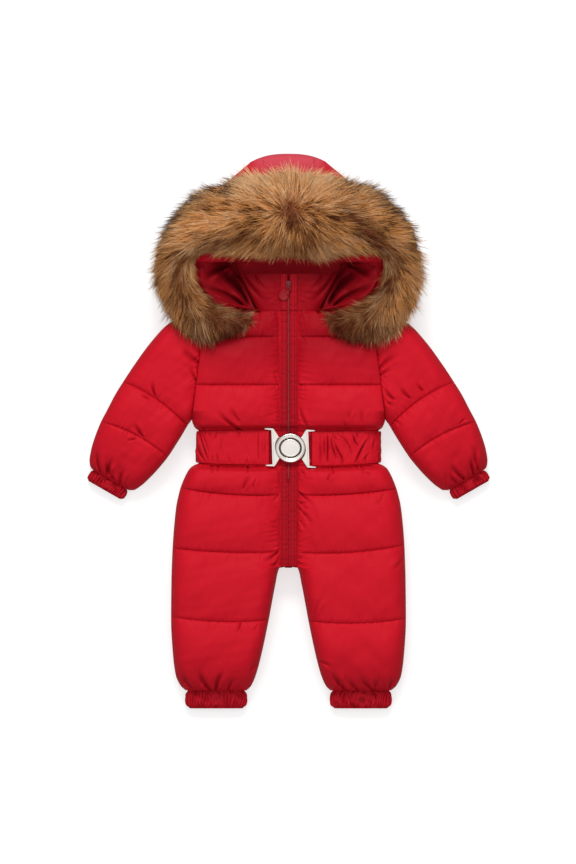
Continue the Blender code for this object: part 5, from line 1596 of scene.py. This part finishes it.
def make_belt():
    """A gathered band from one side of the buckle round the back to the other side."""
    x, front, back_x, back_z = waist_line()
    skins = {}
    for sign in (-1, 1):
        start = BUCKLE_BAR_OUT + sign * BUCKLE_X + GAP
        px = np.concatenate([[start], x[x > start + 0.5], back_x[1:], [80.0, 40.0, 12.0]])
        pz = np.concatenate([[np.interp(start, x, front)], front[x > start + 0.5], back_z[1:],
                             np.interp([80.0, 40.0, 12.0], back_x[::-1], back_z[::-1])])
        line = points_of(px, pz)
        gap = np.concatenate([[0], np.cumsum(np.linalg.norm(np.diff(line, axis=0), axis=1))])
        even = np.arange(0, gap[-1], 0.8)
        line = points_of(np.interp(even, gap, px), np.interp(even, gap, pz))
        ahead = np.gradient(line, axis=0)
        ahead /= np.linalg.norm(ahead, axis=1)[:, None]
        out = points_of(-ahead[:, 1], ahead[:, 0])
        skins[sign] = (line, out, even)
    rows = np.concatenate([[-0.2, -0.6, -1.3, -2.3], np.arange(-3.6, -51, -1.2),
                           [-51.8, -52.9, -53.7, -54.2]])[:, None]
    tops, lows, belt_painted_shade = [], [], []
    for sign in (-1, 1):
        line, out, even = skins[sign]
        edge = np.minimum(-rows, rows - BELT_BOTTOM_Y)
        seed = 1500 + sign
        s, x = even[None] * sign, sign * line[:, 0][None]
        on_front = (even < even[np.argmax(line[:, 0])])[None]
        drift = 0.55 * noise(s, rows, 46.0, seed) + 0.12 * np.sin(rows / 9 + s / 21)
        wave = np.sin(2 * math.pi * (s / 9.6 + drift + rows / 120 * sign))
        wave = wave * (0.7 + 0.55 * noise(s, rows * 0.5, 24.0, seed + 1))
        fine = 0.22 * noise(s, rows * 0.25, 4.5, seed + 2, 20)
        fine = fine + 0.3 * noise(s, rows * 0.5, 16.0, seed + 3)
        creases = folded(x, rows, BELT_FOLDS)
        creases = creases + 1.4 * np.abs(tucks(s, edge, 9.0, 7.0, 0.8, seed + 4))
        relief = np.where(on_front, fine - 1.3 * creases, wave + fine)
        thin = 0.75 + 0.25 * eased(edge, 0, 3)
        hem = 0.5 * np.exp(-(((edge - 3.2) / 0.8) ** 2)) * (edge > 0)
        loop = eased(even, 3.6, 5.2)[None]
        on_floor = eased(line[:, 1], 2.0, 14.0)[None]
        away = GAP + 0.4 + (BELT_THICK * thin - hem + relief * thin * on_floor) * loop
        base = line[None] + out[None] * np.maximum(away, GAP + 0.3)[..., None]
        lift = line[None] + out[None] * GAP + 0 * away[..., None]
        y = rows * (1 - 0.066 * np.abs(x / 144) ** 3) - 0.035 * x * np.exp(-((x / 70) ** 2))
        for store, at in ((tops, base), (lows, lift)):
            store.append(points_of(sign * at[..., 0], y, np.maximum(at[..., 1], 0)))
        # painted shade in the front's folds and the back's gathers, and over the band's ends by the
        # buckle's bars
        valley = np.where(on_front, painted_fold_shade(creases * 1.8, 0.9), np.clip(-0.3 * wave, 0, 0.4))
        belt_painted_shade.append(np.maximum(np.maximum(1 - loop, 0) + 0 * rows, valley))
    top = np.concatenate([tops[0], tops[1][:, ::-1]], axis=1)
    low = np.concatenate([lows[0], lows[1][:, ::-1]], axis=1)
    painted_shade = np.concatenate([belt_painted_shade[0], belt_painted_shade[1][:, ::-1]], axis=1)
    obj = shell("belt_band", top, low, shell_cloth(), attributes={"seam": painted_shade})
    around = (skins[-1][2][-1] + skins[1][2][-1]) * MM
    worn(obj, "shell_cloth", "belt")
    around * 1.2


def make_buckle():
    reach = BUCKLE_DISC + GAP
    bend = math.radians(44)
    inner = [(-reach * math.cos(a), reach * math.sin(a)) for a in np.linspace(bend, -bend, 33)]
    tall, bar, flange = BUCKLE_TALL / 2, BUCKLE_BAR_OUT, BUCKLE_FLANGE
    outline = inner + [
        (-bar + 3.6, -tall), (-bar - flange, -tall), (-bar - flange, -tall + 2.9),
        (-bar, -tall + 3.4), (-bar, tall - 3.4), (-bar - flange, tall - 2.9), (-bar - flange, tall),
        (-bar + 3.6, tall),
    ]
    rail = [(-bar + 0.1, -tall + 0.3), (-bar - flange + 0.6, -tall + 0.4),
            (-bar - flange + 0.6, -tall + 2.6), (-bar + 0.2, -tall + 3.6), (-bar + 0.2, tall - 3.6),
            (-bar - flange + 0.6, tall - 2.6), (-bar - flange + 0.6, tall - 0.4),
            (-bar + 3.2, tall - 0.3), (-bar + 3.0, tall - 6), (-bar + 2.6, 0),
            (-bar + 3.0, -tall + 6), (-bar + 3.2, -tall + 0.3)]
    for side, sign in SIDES.items():
        for name, points, low, high, edge in (("clasp", outline, 0, 3.2, 0.7),
                                              ("rail", rail, 1.0, 4.1, 0.5)):
            shape = [(BUCKLE_X - sign * x - 0.034 * y, BUCKLE_Y + y + 0.04 * sign * x)
                     for x, y in points]
            obj = plate(f"{name}_{side}", shape, BUCKLE_Z + low, BUCKLE_Z + high, edge,
                        plated_metal())
            worn(obj, "silver_metal", *([f"buckle_{side}"] if name == "clasp" else []))
    top = BUCKLE_Z + 7.6
    knots = [
        (0, -0.5), (6, -0.62), (10, -0.95), (12.6, -1.4), (13.6, -1.2), (14.6, -0.95),
        (15.3, -1.15), (15.8, -1.8), (16.1, -4.2), (17.3, -4.2), (17.6, -2.2), (18.1, -1.2),
        (18.9, -0.75),
        (20.2, -0.6), (20.9, -0.75), (21.4, -0.45), (21.9, -0.12), (22.5, -0.2), (23.1, -0.7),
        (23.6, -1.5), (BUCKLE_DISC, -2.9),
    ]
    profile = [(r, top + z) for r, z in knots]
    profile += [(BUCKLE_DISC, BUCKLE_Z - 1.0), (BUCKLE_DISC - 0.5, BUCKLE_Z - 1.5),
                (BUCKLE_DISC - 1.5, BUCKLE_Z - 1.8), (0, BUCKLE_Z - 1.8)]
    obj = lathe("clasp_disc", profile, (BUCKLE_X, BUCKLE_Y), plated_metal(), 144, 0.9, 17.6,
                top - 4.3)
    worn(obj, "silver_metal", "buckle_disc")


# ---------------------------------------------------------------- fur trim

def fur_value(name, u):
    return smooth(range(len(FUR)), [getattr(row, name) for row in FUR], np.abs(u))


PELT_DOWN = 17.0  # how far the hair stands over its skin
PRESSED_Z = 127.0  # hair above this height is pressed down


def pelt_inset(u):
    """How far the hair's skin stops short of the trim's inner and outer edges."""
    u = np.abs(u)
    inner = np.interp(u, (0, 3, 5, 8, 12), (28, 23, 12, 9, 9))
    outer = np.interp(u, (0, 0.8, 1.6, 2.5, 5, 9, 12), (20, 25, 22, 14, 12, 15, 17))
    return inner, outer


def pelt_lines(places):
    """For each place along the trim: the skin's inner and outer end, and the way across."""
    u = places[:, None]
    side = np.where(u < 0, -1, 1)
    inner = points_of(side * fur_value("in_x", u) + FUR_X, fur_value("in_y", u))[:, 0]
    outer = points_of(side * fur_value("out_x", u) + FUR_X, fur_value("out_y", u))[:, 0]
    across = outer - inner
    across /= np.linalg.norm(across, axis=1)[:, None]
    near, far = pelt_inset(places)
    return inner + across * near[:, None], outer - across * far[:, None], across


def make_fur():
    last = len(FUR) - 1
    upper = np.linspace(0, 1, 27)
    lower = np.linspace(1, 0, 13)[1:-1]
    share = np.concatenate([upper, lower])
    places = np.linspace(-last + 0.5, last - 0.4, 241)
    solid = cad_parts["fur_trim"]
    body = BVHTree.FromPolygons([v.co / MM for v in solid.data.vertices],
                                [tuple(p.vertices) for p in solid.data.polygons])
    start, stop, across = pelt_lines(places)
    ridge = fur_value("ridge", places) - PELT_DOWN
    points = np.zeros((len(places), len(share), 3))
    for i, (a, b) in enumerate(zip(start, stop)):
        line = a + (b - a) * share[:, None]
        floor = [FUR_FACE_Z]
        for x, y in line:
            hit = body.ray_cast(Vector((x, y, -10)), Vector((0, 0, 1)))[0]
            floor.append(hit.z if hit is not None else floor[-1])
        floor = np.array(floor[1:]) + 1.5
        edge = np.array([max(floor[0] + 5, 70.0), max(floor[len(upper) - 1] + 4, 40.0)])
        base = edge[0] + (edge[1] - edge[0]) * upper
        dome = np.clip(1 - np.abs(2 * upper**0.85 - 1) ** 2.4, 0, 1) ** 0.5
        top = np.maximum(base + (ridge[i] - base) * dome, floor[:len(upper)] + 2)
        end = eased(abs(places[i]), last - 0.4, last - 2.2)
        top = floor[:len(upper)] + 2 + (top - floor[:len(upper)] - 2) * (0.35 + 0.65 * end)
        points[i, :len(upper), :2], points[i, :len(upper), 2] = line[:len(upper)], top
        points[i, len(upper):, :2] = line[len(upper):]
        points[i, len(upper):, 2] = np.minimum(
            floor[len(upper):], edge[0] + (edge[1] - edge[0]) * lower)
    index = np.arange(points.shape[0] * points.shape[1]).reshape(points.shape[:2])
    quads = grid_quads(*points.shape[:2], 0, True)
    pelt = placed("fur_pelt", mesh_from("fur_pelt", points.reshape(-1, 3),
                                        [quads, index[:1], index[-1:, ::-1]]), pelt_finish())
    worn(pelt, "fur_hair", "fur_trim")
    grow_hair(points, places, share, across[:, None], len(upper))


FUR_PARTS = ("right_lobe", "right_side", "top_right", "top_left", "left_side", "left_lobe")
SHADED_BANDS = (  # lines of painted shade over the trim's hair, with their half width and strength
    (((-49, 317), (-127, 294), (-170, 277), (-170, 226), (-161, 205)), 11.0, 0.6),
    (((81, 347), (132, 307), (162, 282), (162, 245), (146, 214)), 12.0, 0.75),
    (((-142, 250), (-136, 228), (-119, 210), (-95, 197), (-60, 188)), 15.0, 0.9),
    (((150, 250), (142, 226), (122, 208), (87, 203), (46, 190)), 14.0, 0.9),
    (((-150, 165), (-124, 140), (-100, 150)), 14.0, 0.75),
    (((60, 165), (82, 150), (120, 146), (160, 156)), 10.0, 0.6),
    (((2.4, 352), (7, 336)), 7.5, 0.9),
    (((-20, 300), (10, 292), (50, 300)), 16.0, 0.35),
)


def grow_hair(points, places, share, across, upper):
    """Six pieces of hair on the skin. The hair leaves the whorl, stands up round it, and turns
    along the trim's sides and out of its lobes."""
    u = places[:, None] + 0 * share[None]
    along = unit(np.gradient(points[:, :, :2], axis=0)) * np.sign(u)[..., None]
    radial = points[..., :2] - np.array(WHORL)
    away = np.linalg.norm(radial, axis=-1, keepdims=True)
    radial /= np.maximum(away, 1e-6)
    turned = eased(np.abs(u), 3.4, 7.2)[..., None]
    parting = np.interp(np.abs(u), (0, 4, 7, 12), (0.5, 0.32, 0.25, 0.3))
    spread = (share[None] - parting) * np.interp(np.abs(u), (0, 6, 9, 12), (2.0, 2.0, 2.4, 2.6))
    onward = np.interp(np.abs(u), (0, 8, 10, 12), (0.85, 0.85, 0.6, 0.35))[..., None]
    flow = (1 - turned) * radial + turned * (along * onward + across * spread[..., None])
    flow = unit(flow)
    normal = unit(np.cross(np.gradient(points, axis=1), np.gradient(points, axis=0)))
    normal = normal * math.copysign(1, normal[:, upper // 2, 2].mean())
    way = np.concatenate([flow, np.zeros((*flow.shape[:2], 1))], axis=-1)
    way = unit(way - normal * (way * normal).sum(-1, keepdims=True))
    standing = np.exp(-((away / 24) ** 2))
    way = way * (1 - 0.75 * standing) + normal * standing * 1.1
    x, y = points[..., 0], points[..., 1]
    shade = 0 * u
    for line, half, strength in SHADED_BANDS:
        shade = np.maximum(shade, strength * np.exp(-((line_gap(x, y, line)[0] / half) ** 2)))
    tipped = eased(share[None], 0.68, 0.92) * (1 - eased(np.abs(u), 3.6, 5.0))
    ends = 0.8 * eased(share[None], 0.7, 0.95) * np.exp(-(((np.abs(u) - 9.6) / 1.2) ** 2))
    tipped = np.maximum(tipped * (0.1 + 0.9 * eased(np.abs(x - 4), 44, 84)), ends)
    # paler hair over the trim's top, raised further as a painted highlight where the head light
    # falls
    pale = 1.3 * np.exp(-((x / 72) ** 2)) * eased(y, 350, 368)
    middle = 0.55 * np.exp(-((np.abs(u) / 2.5) ** 2)) * (1 - eased(share[None], 0.05, 0.25))
    pale = np.maximum(pale, middle)
    length = np.interp(share, (0, 0.15, 0.5, 1.0), (0.68, 0.8, 1.0, 0.92))[None] + 0 * u
    length = length * np.interp(np.abs(u), (0, 8, 10.5, 12), (1.0, 0.95, 0.7, 0.5))
    length = length * (1 - 0.3 * standing[..., 0])
    # painted shade over the lobes
    lobe = 0.9 * eased(np.abs(u), 7.2, 9.4) * (0.85 + 0.15 * np.cos(3 * u))
    shade = np.maximum(shade, lobe)
    count = points.shape[1]
    quad = grid_quads(len(places), count, 0, True)
    corners = points.reshape(-1, 3)[quad]
    areas = np.linalg.norm(np.cross(corners[:, 2] - corners[:, 0], corners[:, 3] - corners[:, 1]),
                           axis=-1).reshape(len(places) - 1, -1).sum(1) / 2
    total = np.concatenate([[0], np.cumsum(areas)])
    strands = [strand(f"strand_{k}", bend, 3) for k, bend in enumerate((0.0, 0.16, -0.12, 0.28))]
    wool = [strand("wool", 0.0, 1)]
    group = hair_tree(strands, wool)
    fewer = 1
    for k, part in enumerate(FUR_PARTS):
        rows = [int(np.searchsorted(total, total[-1] * at)) for at in (k / 6, (k + 1) / 6)]
        use = slice(rows[0], min(rows[1], len(places) - 1) + 1)
        size = use.stop - use.start
        flat = {"way": way, "lie": normal, "reach": length, "tipped": tipped, "shade": shade,
                "pale": pale}
        flat = {key: values[use].reshape(size * count, *values.shape[2:])
                for key, values in flat.items()}
        mesh = mesh_from(f"fur_{part}", points[use].reshape(-1, 3),
                         [grid_quads(size, count, 0, True)], flat)
        obj = placed(f"fur_{part}", mesh, None, outward=False)
        area = (total[use.stop - 1] - total[use.start]) * MM * MM
        grown(obj, group, {
            "Finish": fur_finish(), "Length": sizes().hair, "Seed": 40 + k,
            "Guard hairs": sizes().hair_count / area / fewer,
            "Wool hairs": 1.7 * sizes().hair_count / area / fewer,
            "Width": 1.3})
        place = np.empty(len(obj.data.vertices) * 3)
        obj.data.vertices.foreach_get("co", place)
        place = place.reshape(-1, 3)
        over = np.maximum(place[:, 2] - PRESSED_Z * MM, 0)
        place[:, 2] = np.maximum(place[:, 2] - 0.55 * over, 0.2 * MM)
        obj.data.vertices.foreach_set("co", place.ravel())
        obj.data.update()
        worn(obj, "fur_hair")
    for one in strands + wool:
        bpy.data.objects.remove(one)


def strand(name, bend, segments):
    """A closed, tapered hair one unit long that points along +Z and bends towards -X."""
    thick = {3: (0.75, 1.0, 0.7), 1: (1.0,)}[segments]
    radius = {3: 0.0085, 1: 0.014}[segments]
    heights = (0.0, 0.35, 0.72)[:len(thick)]
    points = [(radius * w * math.cos(2 * math.pi * k / 3) - bend * t * t,
               radius * w * math.sin(2 * math.pi * k / 3), t)
              for t, w in zip(heights, thick) for k in range(3)]
    along = [t for t in heights for _ in range(3)] + [1.0]
    points.append((-bend, 0, 1.0))
    last, tip = 3 * (len(thick) - 1), len(points) - 1
    fans = [[last + k, last + (k + 1) % 3, tip] for k in range(3)] + [[2, 1, 0]]
    mesh = mesh_from(name, np.array(points) / MM, [grid_quads(len(thick), 3, 0, True), fans],
                     {"along": np.array(along)})
    mesh.shade_smooth()
    return linked(name, mesh)


def hair_tree(strands, wool):
    """A node tree that scatters guard hairs and short wool over the skin, lying in locks."""
    group, tree = node_group("fur_hair", Finish="Material", Length="Float", Width="Float",
                             Guard_hairs="Float", Wool_hairs="Float", Seed="Int")
    given = tree.add("NodeGroupInput")

    def vector(operation, *values, **named):
        return tree.add("ShaderNodeVectorMath", {"operation": operation},
                        {**dict(enumerate(values)), **named})["Vector"]

    def swirl(scale, amount, place):
        field = tree.add("ShaderNodeTexNoise", {}, {"Vector": place, "Scale": scale, "Detail": 1.0})
        centred = vector("SUBTRACT", field["Color"], (0.5, 0.5, 0.5))
        return vector("SCALE", centred, Scale=amount), field["Fac"]

    def chance(low, high, seed):
        return tree.add("FunctionNodeRandomValue", {"data_type": "FLOAT"},
                        {"Min": low, "Max": high, "Seed": seed})["Value"]

    def layer(density, shapes, long, lift, stray, seed):
        roots = tree.add("GeometryNodeDistributePointsOnFaces", {}, {
            "Mesh": given["Geometry"], "Density": density, "Seed": given["Seed"] + float(seed)})
        place = tree.add("GeometryNodeInputPosition")["Position"]
        lock, shown = swirl(95.0, 1.5, place)
        broad, wide = swirl(22.0, 0.8, place)
        loose = tree.add("FunctionNodeRandomValue", {"data_type": "FLOAT_VECTOR"}, {
            "Min": (-stray,) * 3, "Max": (stray,) * 3, "Seed": seed})["Value"]
        up = vector("SCALE", stored(tree, "lie"), Scale=chance(*lift, seed + 1))
        way = vector("ADD", stored(tree, "way"), vector("ADD", lock, broad))
        way = vector("ADD", way, vector("ADD", loose, up))
        turn = turned_to(tree, way, stored(tree, "lie"))
        long = given["Length"] * stored(tree, "reach", "FLOAT") * chance(*long, seed + 2)
        long = long * ((wide - 0.5) * 0.7 + 1.0)
        thick = long * given["Width"] * chance(0.75, 1.35, seed + 3)
        size = tree.add("ShaderNodeCombineXYZ", {}, {"X": thick, "Y": thick, "Z": long})["Vector"]
        joined = tree.add("GeometryNodeJoinGeometry")
        for one in shapes:
            info = tree.add("GeometryNodeObjectInfo", {}, {"Object": one, "As Instance": True})
            group.links.new(info["Geometry"].socket, joined.node.inputs[0])
        which = tree.add("FunctionNodeRandomValue", {"data_type": "INT"},
                         {"Min": 0, "Max": len(shapes) - 1, "Seed": seed + 4})
        hairs = tree.add("GeometryNodeInstanceOnPoints", {}, {
            "Points": roots["Points"], "Instance": joined["Geometry"], "Pick Instance": True,
            "Instance Index": which["Value"], "Rotation": turn, "Scale": size})
        tone = (shown - 0.5) * 2.0 + (wide - 0.5) * 1.2 + chance(0.16, 0.84, seed + 5)
        return tree.add("GeometryNodeStoreNamedAttribute",
                        {"data_type": "FLOAT", "domain": "INSTANCE"},
                        {"Geometry": hairs["Instances"], "Name": "tone", "Value": tone})["Geometry"]

    both = tree.add("GeometryNodeJoinGeometry")
    for made in (layer(given["Guard hairs"], strands, (0.6, 1.15), (0.12, 0.5), 0.17, 10),
                 layer(given["Wool hairs"], wool, (0.38, 0.8), (0.3, 1.0), 0.3, 30)):
        group.links.new(made.socket, both.node.inputs[0])
    ended(tree, both["Geometry"], given["Finish"])
    return group


# ---------------------------------------------------------------- stage

LOOK_X, LOOK_Y, LOOK_Z = -0.8, -1.6, 35.0  # the middle of the picture, on the suit
PICTURE_TALL = 864 * 1.6  # millimetres of the suit that the picture's long side shows


def area_light(name, place, size, power, target=(0, 0, 0)):
    light = bpy.data.lights.new(name, "AREA")
    light.shape, light.size, light.size_y, light.energy = "RECTANGLE", size[0], size[1], power
    obj = linked(name, light)
    obj.location = place
    obj.rotation_euler = (Vector(target) - Vector(place)).to_track_quat("-Z", "Y").to_euler()


def make_stage():
    scene = bpy.context.scene
    mesh = mesh_from("floor", np.array([[-9, -9, -0.0002], [9, -9, -0.0002], [9, 9, -0.0002],
                                        [-9, 9, -0.0002]]) / MM, [np.array([[0, 1, 2, 3]])])
    floor = placed("floor", mesh, floor_finish(), outward=False)
    floor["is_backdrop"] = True
    floor.visible_diffuse = floor.visible_glossy = False  # the sides stay dark towards it
    camera = bpy.data.cameras.new("camera")
    high = sizes().camera_height
    camera.sensor_width = 36.0
    camera.lens = camera.sensor_width * (high - LOOK_Z * MM) / (PICTURE_TALL * MM)
    camera.clip_end = 100.0
    scene.camera = linked("camera", camera)
    scene.camera.location = (LOOK_X * MM, LOOK_Y * MM, high)
    world = bpy.data.worlds.new("studio")
    world.use_nodes = True
    sky = world.node_tree.nodes["Background"]
    sky.inputs["Color"].default_value = (1.0, 0.985, 0.97, 1)
    sky.inputs["Strength"].default_value = 0.32
    scene.world = world
    area_light("head_softbox", (-0.2, 3.5, 3.6), (2.0, 1.1), 128.0, (0, 0.0, 0.03))
    area_light("overhead", (-0.2, 0.1, 3.6), (5.6, 5.6), 82.0)
    scene.view_settings.view_transform = "Standard"


# ---------------------------------------------------------------- operators and panel

def operator(kind, about, make):
    """An operator that makes one piece or a group of like pieces."""
    def execute(self, context):
        make()
        return {"FINISHED"}

    return type(f"SUIT_OT_{kind}", (bpy.types.Operator,), {
        "bl_idname": f"suit.{kind}", "bl_label": kind.capitalize(), "__doc__": about,
        "execute": execute})


STEPS = [operator(*step) for step in (
    ("stage", "Make the floor, the lights and the camera", make_stage),
    ("bodice", "Make the padded chest and back", make_bodice),
    ("trousers", "Make the padded legs", make_trousers),
    ("sleeves", "Make the padded sleeves", make_sleeves),
    ("cuffs", "Make the gathered wrist and ankle cuffs", make_cuffs),
    ("collar", "Make the padded stand-up collar", make_collar),
    ("hood", "Make the hood's sides and middle strip", make_hood),
    ("lining", "Make the cloth inside the face opening", make_lining),
    ("placket", "Make the strips beside the zip", make_placket),
    ("zip", "Make the zip's tape and teeth", make_zip),
    ("stitching", "Lay the stitches of the seams", make_stitching),
    ("slider", "Make the zip's slider", make_slider),
    ("pull", "Make the slider's round pull", make_pull),
    ("belt", "Make the gathered belt", make_belt),
    ("buckle", "Make the buckle's disc and its two frames", make_buckle),
    ("fur", "Make the trim's pelt and its hair", make_fur),
)]


class SUIT_PT_pieces(bpy.types.Panel):
    """Lists the suit's pieces, and the sizes and colours that they are made in."""

    bl_idname = "SUIT_PT_pieces"
    bl_label = "Ski suit"
    bl_space_type = "VIEW_3D"
    bl_region_type = "UI"
    bl_category = "Ski suit"

    def draw(self, context):
        for group in (context.scene.suit_sizes, context.scene.suit_colours):
            for name in group.__annotations__:
                self.layout.prop(group, name)
        for step in STEPS:
            self.layout.operator(step.bl_idname)


CLASSES = (SuitSizes, SuitColours, *STEPS, SUIT_PT_pieces)


def register():
    for cls in CLASSES:
        bpy.utils.register_class(cls)
    bpy.types.Scene.suit_sizes = PointerProperty(type=SuitSizes)
    bpy.types.Scene.suit_colours = PointerProperty(type=SuitColours)


def unregister():
    del bpy.types.Scene.suit_sizes
    del bpy.types.Scene.suit_colours
    for cls in reversed(CLASSES):
        bpy.utils.unregister_class(cls)


def main():
    register()
    for step in STEPS:
        getattr(bpy.ops.suit, step.bl_idname.split(".")[1])()
    boxes = {"cad": PACKED_BOX, "visual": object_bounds()}
    {name: [list(low), list(high)] for name, (low, high) in boxes.items()}


if __name__ == "__main__":
    main()
